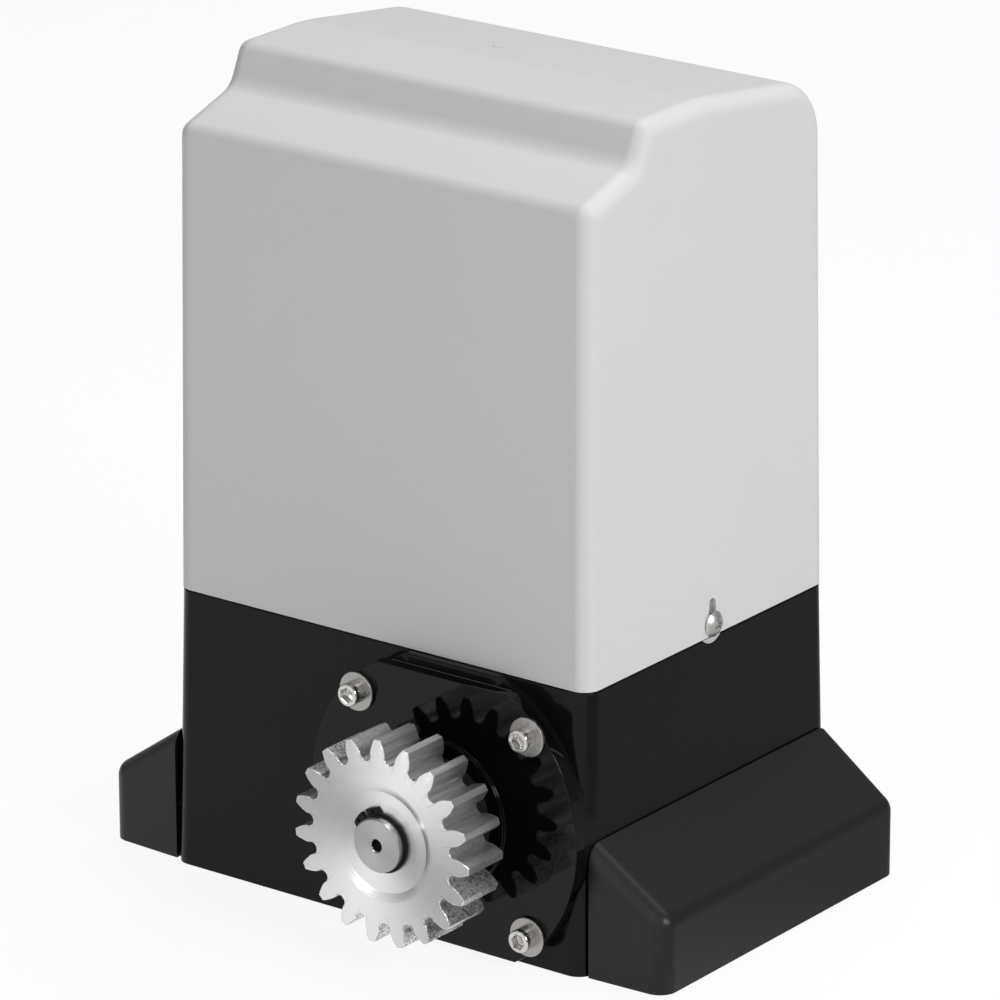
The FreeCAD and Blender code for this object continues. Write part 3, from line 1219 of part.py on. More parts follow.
for side, word in ((-1, "left"), (1, "right")):
    spin = Rotation(Vector(0, 0, 1), -90 if side > 0 else 90)
    outerFoot = wedge(
        word + "FootOuter", "footInner", "footOuter",
        ("-footInnerHalf", "footInnerHalf"), (0.0, "footInnerHeight"),
        ("-footOuterHalf", "footOuterHalf"), (0.0, "footOuterHeight"), spin)
    innerFoot = wedge(
        word + "FootInner", "footInner - 1", "footOuter - footWall",
        ("-footInnerHalf + footWall", "footInnerHalf - footWall"),
        (-1.0, "footInnerHeight - footWall"),
        ("-footOuterHalf + footWall", "footOuterHalf - footWall"),
        (-1.0, "footOuterHeight - footWall"), spin)
    roundOuter = fillet(word + "FootRound", outerFoot, footRule(
        sizes["footInner"], sizes["footOuter"], dims["footEdgeRadius"],
        dims["footCornerRadius"]))
    roundInner = fillet(word + "FootHollow", innerFoot, footRule(
        sizes["footInner"] - 1, sizes["footOuter"] - dims["footWall"],
        dims["footEdgeRadius"] - dims["footWall"], dims["footCornerRadius"] - dims["footWall"]))
    node(cut(word + "Foot", roundOuter, roundInner), "bolt_cover_" + word)

# Manual release on the rear face
leverHub = cylinder("leverHub", "shaftX", "rearFace + 0.9", "shaftZ", 22.0, 10.0, "y")
leverArm = box("leverArm", "shaftX - 62", "rearFace + 2.4", "shaftZ - 9", 62.0, 7.0, 18.0)
leverEnd = cylinder("leverEnd", "shaftX - 62", "rearFace + 2.4", "shaftZ", 13.0, 8.5, "y")
leverSpindle = cylinder("leverSpindle", "shaftX", "chamberDepth / 2 - 7", "shaftZ", 8.0,
    "rearFace - chamberDepth / 2 + 9.2", "y")
leverRound = fuse("leverRound", leverHub, leverArm, leverEnd, leverSpindle)
lockSeat = cylinder(
    "lockSeat", "shaftX - 62", "rearFace + 4.4", "shaftZ", "7.0 + turnGap", 10.0, "y")
lockPin = cylinder("lockPin", "shaftX - 62", "rearFace - 3.8", "shaftZ", "3.0 + turnGap", 12.0, "y")
plungerPass = cylinder("plungerPass", "shaftX", "chamberDepth / 2 - 9", "shaftZ", "4.0 + turnGap",
    "rearFace - chamberDepth / 2 + 11.2", "y")
node(cut("lever", leverRound, lockSeat, lockPin, plungerPass), "release_lever")
lockBody = cylinder("lockBody", "shaftX - 62", "rearFace + 4.5", "shaftZ", 7.0, 7.6, "y")
lockStem = cylinder("lockStem", "shaftX - 62", "rearFace + 2.8", "shaftZ", 3.0, 3.0, "y")
keySlot = box("keySlot", "shaftX - 62 - 0.7", "rearFace + 6.2", "shaftZ - 4", 1.4, 10.0, 8.0)
lockAll = fuse("lockAll", lockBody, lockStem)
node(cut("lock", lockAll, keySlot), "lock_cylinder")
node(cylinder("plunger", "shaftX", 28.0, "shaftZ", 4.0, "rearFace - 29.8", "y"), "release_plunger")

# Check every object, then write the parts
doc.recompute()
broken = []
for obj in doc.Objects:
    if "Invalid" in obj.State or "Error" in obj.State:
        broken.append(obj.Name + " " + str(obj.State))
for obj in nodes:
    shape = obj.Shape
    if shape.isNull() or not shape.isValid() or not shape.Solids:
        broken.append(obj.Label + " has no valid solid")
if broken:
    raise RuntimeError("Bad features: " + "; ".join(broken))
for old in os.listdir("parts"):
    if old.endswith(".step"):
        os.remove(os.path.join("parts", old))
for obj in nodes:
    obj.Shape.exportStep("parts/" + obj.Label + ".step")
    print(obj.Label, len(obj.Shape.Solids), "solids", round(obj.Shape.Volume, 1))
print(len(nodes), "nodes written")
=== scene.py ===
import json
import math

import bmesh
import bpy
from mathutils import Matrix, Vector

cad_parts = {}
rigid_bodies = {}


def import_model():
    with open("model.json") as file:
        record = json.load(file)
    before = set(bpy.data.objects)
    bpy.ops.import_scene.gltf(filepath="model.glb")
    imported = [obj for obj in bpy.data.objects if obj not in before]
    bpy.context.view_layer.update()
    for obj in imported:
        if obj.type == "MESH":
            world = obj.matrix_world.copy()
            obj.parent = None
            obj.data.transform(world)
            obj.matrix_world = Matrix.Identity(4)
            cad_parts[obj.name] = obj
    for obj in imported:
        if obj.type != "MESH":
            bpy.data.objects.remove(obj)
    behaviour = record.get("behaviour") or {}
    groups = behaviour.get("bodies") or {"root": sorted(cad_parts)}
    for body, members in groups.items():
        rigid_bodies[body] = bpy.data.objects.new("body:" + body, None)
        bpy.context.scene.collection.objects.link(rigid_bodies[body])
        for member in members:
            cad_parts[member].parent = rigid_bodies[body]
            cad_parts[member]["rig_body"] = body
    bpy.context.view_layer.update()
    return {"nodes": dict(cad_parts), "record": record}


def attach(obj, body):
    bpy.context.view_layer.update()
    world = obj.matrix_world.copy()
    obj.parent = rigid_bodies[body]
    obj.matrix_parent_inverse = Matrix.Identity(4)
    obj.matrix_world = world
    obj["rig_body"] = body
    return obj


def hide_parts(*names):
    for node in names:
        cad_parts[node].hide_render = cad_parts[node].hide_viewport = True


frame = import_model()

nodes = frame["nodes"]
mm = 0.001
print("frame loaded:", len(nodes), "nodes")


class Wire:                      # one output socket that can stand in a sum
    def __init__(self, graph, socket):
        self.graph = graph
        self.socket = socket

    def __add__(self, other):
        return self.graph.maths("ADD", self, other)

    def __sub__(self, other):
        return self.graph.maths("SUBTRACT", self, other)

    def __rsub__(self, other):
        return self.graph.maths("SUBTRACT", other, self)

    def __mul__(self, other):
        return self.graph.maths("MULTIPLY", self, other)

    def __truediv__(self, other):
        return self.graph.maths("DIVIDE", self, other)

    __radd__ = __add__
    __rmul__ = __mul__


class Graph:                     # a node tree of any kind
    def __init__(self, tree):
        self.tree = tree

    def feed(self, socket, value):
        if isinstance(value, Wire):
            self.tree.links.new(value.socket, socket)
        elif value is not None:
            socket.default_value = value

    def node(self, kind, settings=None, sockets=None, want=0):
        made = self.tree.nodes.new(kind)
        for key, value in (settings or {}).items():
            if key == "stops":
                ramp = made.color_ramp
                for index, (position, shade) in enumerate(value):
                    stop = ramp.elements[index] if index < 2 else ramp.elements.new(position)
                    stop.position = position
                    stop.color = (shade, shade, shade, 1.0)
            else:
                setattr(made, key, value)
        for key, value in (sockets or {}).items():
            self.feed(made.inputs[key], value)
        return Wire(self, made.outputs[want])

    def maths(self, operation, first, second=None):
        return self.node("ShaderNodeMath", {"operation": operation}, {0: first, 1: second})

    def vectors(self, operation, first, second=None, want=0):
        return self.node("ShaderNodeVectorMath", {"operation": operation},
                         {0: first, 1: second}, want)


class Look(Graph):               # one material with a Principled shader
    def __init__(self, name, **plain):
        self.material = bpy.data.materials.new(name)
        self.material.use_nodes = True
        super().__init__(self.material.node_tree)
        self.tree.nodes.clear()
        self.shader = self.tree.nodes.new("ShaderNodeBsdfPrincipled")
        output = self.tree.nodes.new("ShaderNodeOutputMaterial")
        self.tree.links.new(self.shader.outputs[0], output.inputs[0])
        self.spot = self.node("ShaderNodeTexCoord", want="Object")
        for key, value in plain.items():
            self.shader.inputs[key.replace("_", " ")].default_value = value

    def noise(self, perMetre, detail=2.0, roughness=0.5, distortion=0.0, where=None):
        return self.node("ShaderNodeTexNoise", None, {
            "Vector": where or self.spot, "Scale": perMetre, "Detail": detail,
            "Roughness": roughness, "Distortion": distortion})

    def cells(self, perMetre):
        return self.node("ShaderNodeTexVoronoi", None, {"Vector": self.spot, "Scale": perMetre})

    def ramp(self, value, *stops):
        return self.node("ShaderNodeValToRGB", {"stops": stops}, {"Fac": value})

    def tint(self, factor, first, second):
        return self.node("ShaderNodeMix", {"data_type": "RGBA"},
                         {0: factor, 6: first, 7: second}, 2)

    def colour(self, value):
        self.feed(self.shader.inputs["Base Color"], value)

    def rough(self, value):
        self.feed(self.shader.inputs["Roughness"], value)

    def relief(self, height, depth, strength=1.0):
        self.feed(self.shader.inputs["Normal"], self.node("ShaderNodeBump", None, {
            "Strength": strength, "Distance": depth, "Height": height}))


class Grower(Graph):             # a Geometry Nodes tree with named inputs
    def __init__(self, name):
        super().__init__(bpy.data.node_groups.new(name, "GeometryNodeTree"))
        self.tree.interface.new_socket("Geometry", in_out="OUTPUT",
                                       socket_type="NodeSocketGeometry")
        self.start = self.tree.nodes.new("NodeGroupInput")
        self.end = self.tree.nodes.new("NodeGroupOutput")
        self.names = {}
        self.source = self.size("Source", None, "Geometry")

    def size(self, name, value, kind="Float"):
        socket = self.tree.interface.new_socket(name, in_out="INPUT",
                                                socket_type="NodeSocket" + kind)
        if value is not None:
            socket.default_value = value
        self.names[name] = socket.identifier
        return Wire(self, self.start.outputs[name])

    def close(self, geometry):
        real = self.node("GeometryNodeRealizeInstances", None, {0: geometry})
        skin = self.size("Material", None, "Material")
        done = self.node("GeometryNodeSetMaterial", None, {"Geometry": real, "Material": skin})
        self.feed(self.end.inputs[0], done)
        return self

    def grow(self, obj, material, **sizes):
        modifier = obj.modifiers.new("grown", "NODES")
        modifier.node_group = self.tree
        modifier[self.names["Material"]] = material
        for name, value in sizes.items():
            modifier[self.names[name]] = value
        settle(obj)


def rgb(red, green=None, blue=None):
    return (red, red if green is None else green, red if blue is None else blue, 1.0)


def newObject(name, mesh):
    obj = bpy.data.objects.new(name, mesh)
    bpy.context.scene.collection.objects.link(obj)
    return obj


def meshFrom(name, points, faces):
    mesh = bpy.data.meshes.new(name)
    mesh.from_pydata([tuple(p) for p in points], [], faces)
    mesh.update()
    return mesh


def creases(mesh, degrees):      # smooth shading with sharp edges above an angle
    work = bmesh.new()
    work.from_mesh(mesh)
    limit = math.radians(degrees)
    for face in work.faces:
        face.smooth = True
    for edge in work.edges:
        edge.smooth = len(edge.link_faces) == 2 and edge.calc_face_angle(0.0) < limit
    work.to_mesh(mesh)
    work.free()


def weigh(obj):                  # keeps the shading of flat faces flat beside a bevel
    modifier = obj.modifiers.new("weighed", "WEIGHTED_NORMAL")
    modifier.keep_sharp = True
    modifier.weight = 80


def settle(obj):                 # turns the live modifiers into the mesh
    graph = bpy.context.evaluated_depsgraph_get()
    mesh = bpy.data.meshes.new_from_object(obj.evaluated_get(graph), depsgraph=graph)
    obj.modifiers.clear()
    obj.data = mesh


def lathe(name, profile, segments):      # a profile turned round the Y axis
    points = []
    faces = []
    count = len(profile)
    for step in range(segments):
        angle = 2 * math.pi * step / segments
        for along, radius in profile:
            points.append((radius * math.cos(angle), along, radius * math.sin(angle)))
    for step in range(segments):
        after = (step + 1) % segments
        for index in range(count - 1):
            faces.append((step * count + index, step * count + index + 1,
                          after * count + index + 1, after * count + index))
    mesh = meshFrom(name, points, faces)
    work = bmesh.new()
    work.from_mesh(mesh)
    bmesh.ops.remove_doubles(work, verts=work.verts, dist=1e-7)
    bmesh.ops.recalc_face_normals(work, faces=work.faces)
    work.to_mesh(mesh)
    work.free()
    return mesh


def dress(node, name, bevel, material, degrees=32, segments=3, pick=None):
    mesh = nodes[node].data.copy()
    work = bmesh.new()
    work.from_mesh(mesh)
    bmesh.ops.remove_doubles(work, verts=work.verts, dist=2e-6)
    if pick:                     # only the picked edges are broken
        weights = work.edges.layers.float.new("bevel_weight_edge")
        for edge in work.edges:
            sharp = len(edge.link_faces) == 2 and edge.calc_face_angle(0.0) > 0.5
            edge[weights] = 1.0 if sharp and all(pick(*(v.co / mm)) for v in edge.verts) else 0.0
    else:
        bmesh.ops.dissolve_limit(work, angle_limit=math.radians(0.4), verts=work.verts,
                                 edges=work.edges, delimit=set())
    work.to_mesh(mesh)
    work.free()
    obj = newObject(name, mesh)
    mesh.materials.clear()
    mesh.materials.append(material)
    creases(mesh, degrees)
    modifier = obj.modifiers.new("edges", "BEVEL")
    modifier.width = bevel
    modifier.segments = segments
    modifier.limit_method = "WEIGHT" if pick else "ANGLE"
    modifier.angle_limit = math.radians(degrees)
    modifier.use_clamp_overlap = not pick
    modifier.harden_normals = True
    settle(obj)
    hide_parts(node)
    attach(obj, nodes[node]["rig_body"])
    return obj


# Finishes

coverFinish = {"light": 0.60, "dark": 0.575, "mottle": 9.0, "grain": 2600.0,
               "roughLow": 0.48, "roughHigh": 0.58, "depth": 0.00002}
paintFinish = {"colour": 0.005, "peel": 420.0, "speck": 2300.0, "cloud": 35.0,
               "depth": 0.000012, "roughLow": 0.10, "roughHigh": 0.2}
flangeFinish = {"colour": 0.0025, "wave": 60.0, "grain": 700.0, "depth": 0.000006,
                "rough": 0.035}
footFinish = {"light": 0.013, "dark": 0.007, "cell": 1500.0, "depth": 0.00006,
              "roughLow": 0.32, "roughHigh": 0.46}
# In shaftFinish and turnedFinish, light is the colour of the painted highlight lobes and dark the
# colour of the steel between them
shaftFinish = {"light": 0.44, "dark": 0.36, "ring": 9000.0, "band": 1500.0, "rough": 0.3,
               "tilt": 1.6}
paintedSheenAngle = math.radians(68)    # turned steel gets painted highlight lobes: its colour is lighter this way, in world space
paintedSheenWay = (math.cos(paintedSheenAngle), 0.0, math.sin(paintedSheenAngle))
turnedFinish = {"light": 0.82, "dark": 0.40, "ring": 9000.0, "band": 700.0, "rough": 0.26,
                "tilt": 2.6}
castFinish = {"light": 0.92, "dark": 0.24, "grain": 900.0, "rough": 0.40, "depth": 0.00016}


def coverLook():
    f = coverFinish
    look = Look("coverPlastic", Specular_IOR_Level=0.25)
    broad = look.noise(f["mottle"], 3.0)
    grain = look.noise(f["grain"], 2.0)
    look.colour(look.tint(broad, rgb(f["dark"]), rgb(f["light"])))
    look.rough(f["roughLow"] + grain * (f["roughHigh"] - f["roughLow"]))
    look.relief(grain, f["depth"], 0.35)
    return look.material


def paintLook():
    f = paintFinish
    look = Look("blackPaint", Specular_IOR_Level=0.15)
    peel = look.noise(f["peel"], 2.0)
    dust = look.ramp(look.noise(f["speck"], 1.0), (0.74, 0.0), (0.80, 1.0))
    look.colour(look.tint(dust * 0.25, rgb(f["colour"]), rgb(0.12)))
    look.rough(f["roughLow"] + look.noise(f["cloud"], 3.0) * (f["roughHigh"] - f["roughLow"]))
    look.relief(peel, f["depth"])
    return look.material


def flangeLook():
    f = flangeFinish
    look = Look("flangePaint", Specular_IOR_Level=0.21, Base_Color=rgb(f["colour"]))
    wave = look.noise(f["wave"], 1.0)
    fine = look.noise(f["grain"], 2.0)
    look.rough(f["rough"] + fine * 0.03)
    look.relief(wave * 3.0 + fine * 0.2, f["depth"])
    return look.material


def footLook():
    f = footFinish
    look = Look("footPlastic", Specular_IOR_Level=0.3)
    pebble = look.cells(f["cell"])
    grain = look.noise(f["cell"] * 0.7, 2.0)
    look.colour(look.tint(grain, rgb(f["dark"]), rgb(f["light"])))
    look.rough(f["roughLow"] + pebble * (f["roughHigh"] - f["roughLow"]))
    look.relief(pebble * 0.6 + grain, f["depth"], 0.7)
    return look.material


def turnedLook(name, centre, f):
    look = Look(name, Metallic=1.0)
    moved = look.vectors("MULTIPLY", look.vectors("SUBTRACT", look.spot, centre),
                         (1.0, 0.0, 1.0))
    away = look.vectors("LENGTH", moved, None, "Value")
    rings = look.noise(1.0, 2.0, 0.7, 0.0, look.node("ShaderNodeCombineXYZ", None, {
        0: away * f["ring"]}))
    bands = look.noise(1.0, 1.0, 0.5, 0.0, look.node("ShaderNodeCombineXYZ", None, {
        0: away * f["band"]}))
    outward = look.vectors("NORMALIZE", moved)
    world = look.node("ShaderNodeVectorTransform", {
        "vector_type": "VECTOR", "convert_from": "OBJECT", "convert_to": "WORLD"},
        {0: outward})
    along = look.vectors("DOT_PRODUCT", world, paintedSheenWay, "Value")
    # painted highlight: the colour is lighter where the radius lies along one fixed way in world
    # space; the bands are real tone of the turning
    look.colour(look.tint(along * along + bands * 0.1 - 0.05,
                          rgb(f["dark"]), rgb(f["light"], f["light"], f["light"] * 0.99)))
    look.rough(f["rough"] + bands * 0.08 - 0.04)
    tilt = look.vectors("SCALE", world)
    look.feed(tilt.socket.node.inputs["Scale"], (rings - 0.5) * f["tilt"])
    facing = look.node("ShaderNodeNewGeometry", want="Normal")
    look.feed(look.shader.inputs["Normal"],
              look.vectors("NORMALIZE", look.vectors("ADD", facing, tilt)))
    return look.material


def castLook():                  # cast flanks, smoother in relief and lighter on one side of the ring; the lighter colour there is a painted sheen
    f = castFinish
    look = Look("castSteel", Metallic=0.95)
    out = look.vectors("SUBTRACT", look.spot, shaftCentre)
    smoothSide = look.node("ShaderNodeMapRange", None, {
        "Value": look.vectors("DOT_PRODUCT", out, smoothSideWay, "Value"),
        "From Min": smoothSideSizes["low"], "From Max": smoothSideSizes["high"],
        "To Min": 0.0, "To Max": 1.0})
    grain = look.noise(f["grain"], 3.0, 0.6, 0.4)
    broad = look.noise(70.0, 2.0)
    stretched = look.vectors("MULTIPLY", look.spot, (1.0, 0.06, 1.0))
    streaks = look.noise(1100.0, 3.0, 0.6, 0.0, stretched)
    mask = look.ramp(grain * 0.75 + broad * 0.25, (0.38, 0.0), (0.60, 1.0))
    cast = look.tint(mask, rgb(f["dark"]), rgb(f["light"]))
    # painted sheen: on the smooth side the colour is lighter and streaked
    smooth = look.tint(streaks, rgb(f["dark"] * 1.4), rgb(f["light"] * 1.1))
    look.colour(look.tint(smoothSide, cast, smooth))
    look.rough(f["rough"] + broad * 0.14 - 0.1 - smoothSide * 0.06)
    height = grain * (1.0 - smoothSide) + streaks * 0.12 * smoothSide
    look.relief(height, f["depth"], 0.8)
    return look.material


def steelLook(name, light, dark, rough, grain=1200.0, depth=0.000008):
    look = Look(name, Metallic=1.0)
    fine = look.noise(grain, 3.0)
    broad = look.noise(90.0, 2.0)
    look.colour(look.tint(broad, rgb(*dark), rgb(*light)))
    look.rough(rough + fine * 0.12 - 0.06)
    look.relief(fine, depth, 0.6)
    return look.material


def plainLook(name, light, dark, rough, grain=900.0, depth=0.00002, metal=0.0, **extra):
    look = Look(name, Metallic=metal, **extra)
    fine = look.noise(grain, 3.0)
    broad = look.noise(40.0, 2.0)
    look.colour(look.tint(broad * 0.6 + fine * 0.4, rgb(*dark), rgb(*light)))
    look.rough(rough + fine * 0.14 - 0.07)
    look.relief(fine, depth, 0.6)
    return look.material


def laminationLook():
    look = Look("laminations", Metallic=0.8)
    height = look.node("ShaderNodeSeparateXYZ", None, {0: look.spot}, 2)
    band = look.maths("FRACT", height * 1500.0)
    line = look.ramp(band, (0.0, 0.0), (0.25, 1.0))
    broad = look.noise(120.0, 3.0)
    look.colour(look.tint(line * 0.7 + broad * 0.3, rgb(0.07), rgb(0.34, 0.34, 0.36)))
    look.rough(0.45 + broad * 0.15)
    look.relief(line, 0.0001, 0.6)
    return look.material


def windingLook():
    look = Look("windingWire", Metallic=0.75)
    weave = look.node("ShaderNodeTexWave", {"wave_type": "BANDS", "bands_direction": "Z"}, {
        "Vector": look.spot, "Scale": 260.0, "Distortion": 2.4, "Detail": 2.0,
        "Detail Scale": 1.2})
    broad = look.noise(90.0, 2.0)
    look.colour(look.tint(weave * 0.8 + broad * 0.2, rgb(0.16, 0.055, 0.02),
                          rgb(0.68, 0.29, 0.10)))
    look.rough(0.3 + broad * 0.1)
    look.relief(weave, 0.0004, 0.8)
    return look.material


def boardLook():
    look = Look("boardGreen", Specular_IOR_Level=0.5)
    grid = look.node("ShaderNodeTexBrick", {"offset": 0.5, "squash": 1.0}, {
        "Vector": look.node("ShaderNodeMapping", None, {
            "Vector": look.spot, "Rotation": (0.0, math.radians(90), 0.0)}),
        "Scale": 140.0, "Mortar Size": 0.012, "Color1": rgb(0.0), "Color2": rgb(0.0),
        "Mortar": rgb(1.0)}, "Fac")
    patch = look.ramp(look.noise(60.0, 0.0), (0.49, 0.0), (0.51, 1.0))
    tracks = look.maths("MAXIMUM", grid * patch, patch * 0.15)
    look.colour(look.tint(tracks, rgb(0.008, 0.10, 0.035), rgb(0.03, 0.24, 0.08)))
    look.rough(0.3 + tracks * 0.12)
    look.relief(tracks, 0.00008, 0.5)
    return look.material


shaftAxis = (39.0, 56.0)         # X and Z of the output shaft, in millimetres
shaftCentre = (shaftAxis[0] * mm, 0.0, shaftAxis[1] * mm)
# the side of the pinion ring where the flanks are smoother in relief and carry a painted sheen
smoothSideSizes = {"angle": math.radians(52), "pitchRadius": 0.038, "low": 0.35, "high": 0.75}
smoothSideWay = tuple(v / smoothSideSizes["pitchRadius"] for v in (
    math.cos(smoothSideSizes["angle"]), 0.0, math.sin(smoothSideSizes["angle"])))
looks = {
    "cover_plastic": coverLook(),
    "black_paint": paintLook(),
    "flange_paint": flangeLook(),
    "foot_plastic": footLook(),
    "pinion_steel": castLook(),
    "shaft_steel": steelLook("groundShaft", (0.50, 0.50, 0.51), (0.40, 0.40, 0.41), 0.3),
    "shaft_end": turnedLook("turnedShaft", shaftCentre, shaftFinish),
    "screw_steel": steelLook("brightScrew", (0.70, 0.69, 0.67), (0.52, 0.51, 0.50), 0.18),
    "pan_steel": steelLook("panScrew", (0.88, 0.87, 0.85), (0.72, 0.71, 0.69), 0.36),
    "washer_steel": steelLook("stainlessWasher", (0.42, 0.41, 0.40), (0.31, 0.30, 0.29), 0.26),
    "side_washer": plainLook("sideWasherZinc", (0.62, 0.62, 0.61), (0.52, 0.52, 0.51), 0.5,
                             900.0, 0.00001, 0.35),
    "spring_steel": steelLook("blackSpring", (0.03, 0.03, 0.032), (0.012, 0.012, 0.012), 0.34),
    "bearing_steel": steelLook("bearingSteel", (0.80, 0.81, 0.83), (0.70, 0.71, 0.73), 0.12),
    "seal_rubber": plainLook("sealRubber", (0.022,) * 3, (0.012,) * 3, 0.5),
    "gasket_fibre": plainLook("gasketFibre", (0.10, 0.12, 0.10), (0.05, 0.06, 0.05), 0.8),
    "bronze": steelLook("wheelBronze", (0.66, 0.44, 0.19), (0.46, 0.29, 0.11), 0.3),
    "cast_aluminium": plainLook("castAluminium", (0.62, 0.63, 0.64), (0.46, 0.47, 0.48), 0.45,
                                700.0, 0.00012, 0.9),
    "lamination_steel": laminationLook(),
    "copper": windingLook(),
    "galvanised": plainLook("zincPlate", (0.70, 0.71, 0.72), (0.50, 0.51, 0.53), 0.32,
                            300.0, 0.00001, 1.0),
    "can_plastic": plainLook("canPlastic", (0.78, 0.78, 0.76), (0.72, 0.72, 0.70), 0.35),
    "board_green": boardLook(),
    "terminal_green": plainLook("terminalGreen", (0.04, 0.36, 0.11), (0.03, 0.28, 0.08), 0.4),
    "relay_blue": plainLook("relayBlue", (0.03, 0.10, 0.36), (0.02, 0.07, 0.28), 0.25),
    "coil_yellow": plainLook("coilTape", (0.74, 0.56, 0.09), (0.62, 0.45, 0.06), 0.4),
    "glass_fuse": plainLook("fuseGlass", (0.85, 0.9, 0.9), (0.8, 0.85, 0.85), 0.1,
                            Transmission_Weight=0.8),
    "dark_plastic": plainLook("darkPlastic", (0.022,) * 3, (0.014,) * 3, 0.42, 1400.0, 0.00004),
    "fan_plastic": plainLook("fanNylon", (0.09, 0.09, 0.1), (0.07, 0.07, 0.075), 0.5),
    "button_red": plainLook("buttonRed", (0.6, 0.03, 0.02), (0.5, 0.02, 0.015), 0.35),
    "gland_plastic": plainLook("glandNylon", (0.06,) * 3, (0.045,) * 3, 0.45),
    "lock_brass": steelLook("lockBrass", (0.72, 0.58, 0.32), (0.58, 0.45, 0.22), 0.25),
}
print("finishes made:", len(looks))

# Shading of the carried-over nodes

calm = Grower("calmShading")
calmMerge = calm.node("GeometryNodeMergeByDistance", None, {
    "Geometry": calm.source, "Distance": calm.size("Merge", 0.000002)})
calmFaces = calm.node("GeometryNodeSetShadeSmooth", {"domain": "FACE"}, {
    "Geometry": calmMerge, "Shade Smooth": True})
edgeTurn = calm.node("GeometryNodeInputMeshEdgeAngle")
flatEnough = calm.maths("LESS_THAN", edgeTurn, calm.size("Crease", math.radians(28)))
calmEdges = calm.node("GeometryNodeSetShadeSmooth", {"domain": "EDGE"}, {
    "Geometry": calmFaces, "Shade Smooth": flatEnough})
calm.feed(calm.end.inputs[0], calmEdges)

slotOf = {part["node"]: part["material_slot"] for part in frame["record"]["subparts"]}
for name, obj in nodes.items():
    obj.data.materials.clear()
    obj.data.materials.append(looks[slotOf[name]])
    modifier = obj.modifiers.new("calm", "NODES")
    modifier.node_group = calm.tree
    weigh(obj)
print("nodes shaded:", len(nodes))

# Pinion

pinionSizes = {"teeth": 19, "module": 4.0, "tooth": 111.3, "front": -128.7, "back": -106.7,
               "bore": 11.03, "recessTop": 23.8, "recessFoot": 20.9, "recessDepth": 1.5,
               "edge": 0.3, "faceRing": 28.5, "rows": 50, "grainHeight": 0.26,
               "grainSize": 0.9}


def arcThrough(a, b, c, steps):
    ax, ay, bx, by, cx, cy = *a, *b, *c
    d = 2 * (ax * (by - cy) + bx * (cy - ay) + cx * (ay - by))
    ux = ((ax ** 2 + ay ** 2) * (by - cy) + (bx ** 2 + by ** 2) * (cy - ay)
          + (cx ** 2 + cy ** 2) * (ay - by)) / d
    uy = ((ax ** 2 + ay ** 2) * (cx - bx) + (bx ** 2 + by ** 2) * (ax - cx)
          + (cx ** 2 + cy ** 2) * (bx - ax)) / d
    r = math.hypot(ax - ux, ay - uy)
    first, middle, last = (math.atan2(y - uy, x - ux) for x, y in (a, b, c))
    turn = sum((late - early + math.pi) % (2 * math.pi) - math.pi
               for early, late in ((first, middle), (middle, last)))
    return [(ux + r * math.cos(first + turn * i / steps),
             uy + r * math.sin(first + turn * i / steps)) for i in range(steps + 1)]


def toothOutline(s):             # from the middle of one valley to the next
    pressure = math.radians(20)
    pitch = s["module"] * s["teeth"] / 2
    base = pitch * math.cos(pressure)
    tip = pitch + s["module"]
    root = pitch - 1.25 * s["module"]
    half = math.pi / (2 * s["teeth"])
    involute = math.tan(pressure) - pressure

    def flank(r):
        if r <= base:
            return half + involute
        tilt = math.acos(base / r)
        return half + involute - (math.tan(tilt) - tilt)

    def spot(r, angle):
        return (r * math.cos(angle), r * math.sin(angle))

    low = max(base, root + 0.15 * s["module"])
    step = 2 * math.pi / s["teeth"]
    valley = arcThrough(spot(low, flank(low) - step), spot(root, -step / 2),
                        spot(low, -flank(low)), 14)[7:]
    rise = [spot(low + (tip - low) * i / 16, -flank(low + (tip - low) * i / 16))
            for i in range(1, 17)]
    top = [spot(tip, flank(tip) * (2 * i / 6 - 1)) for i in range(1, 6)]
    return valley + rise + top + [(x, -y) for x, y in reversed(valley + rise)]


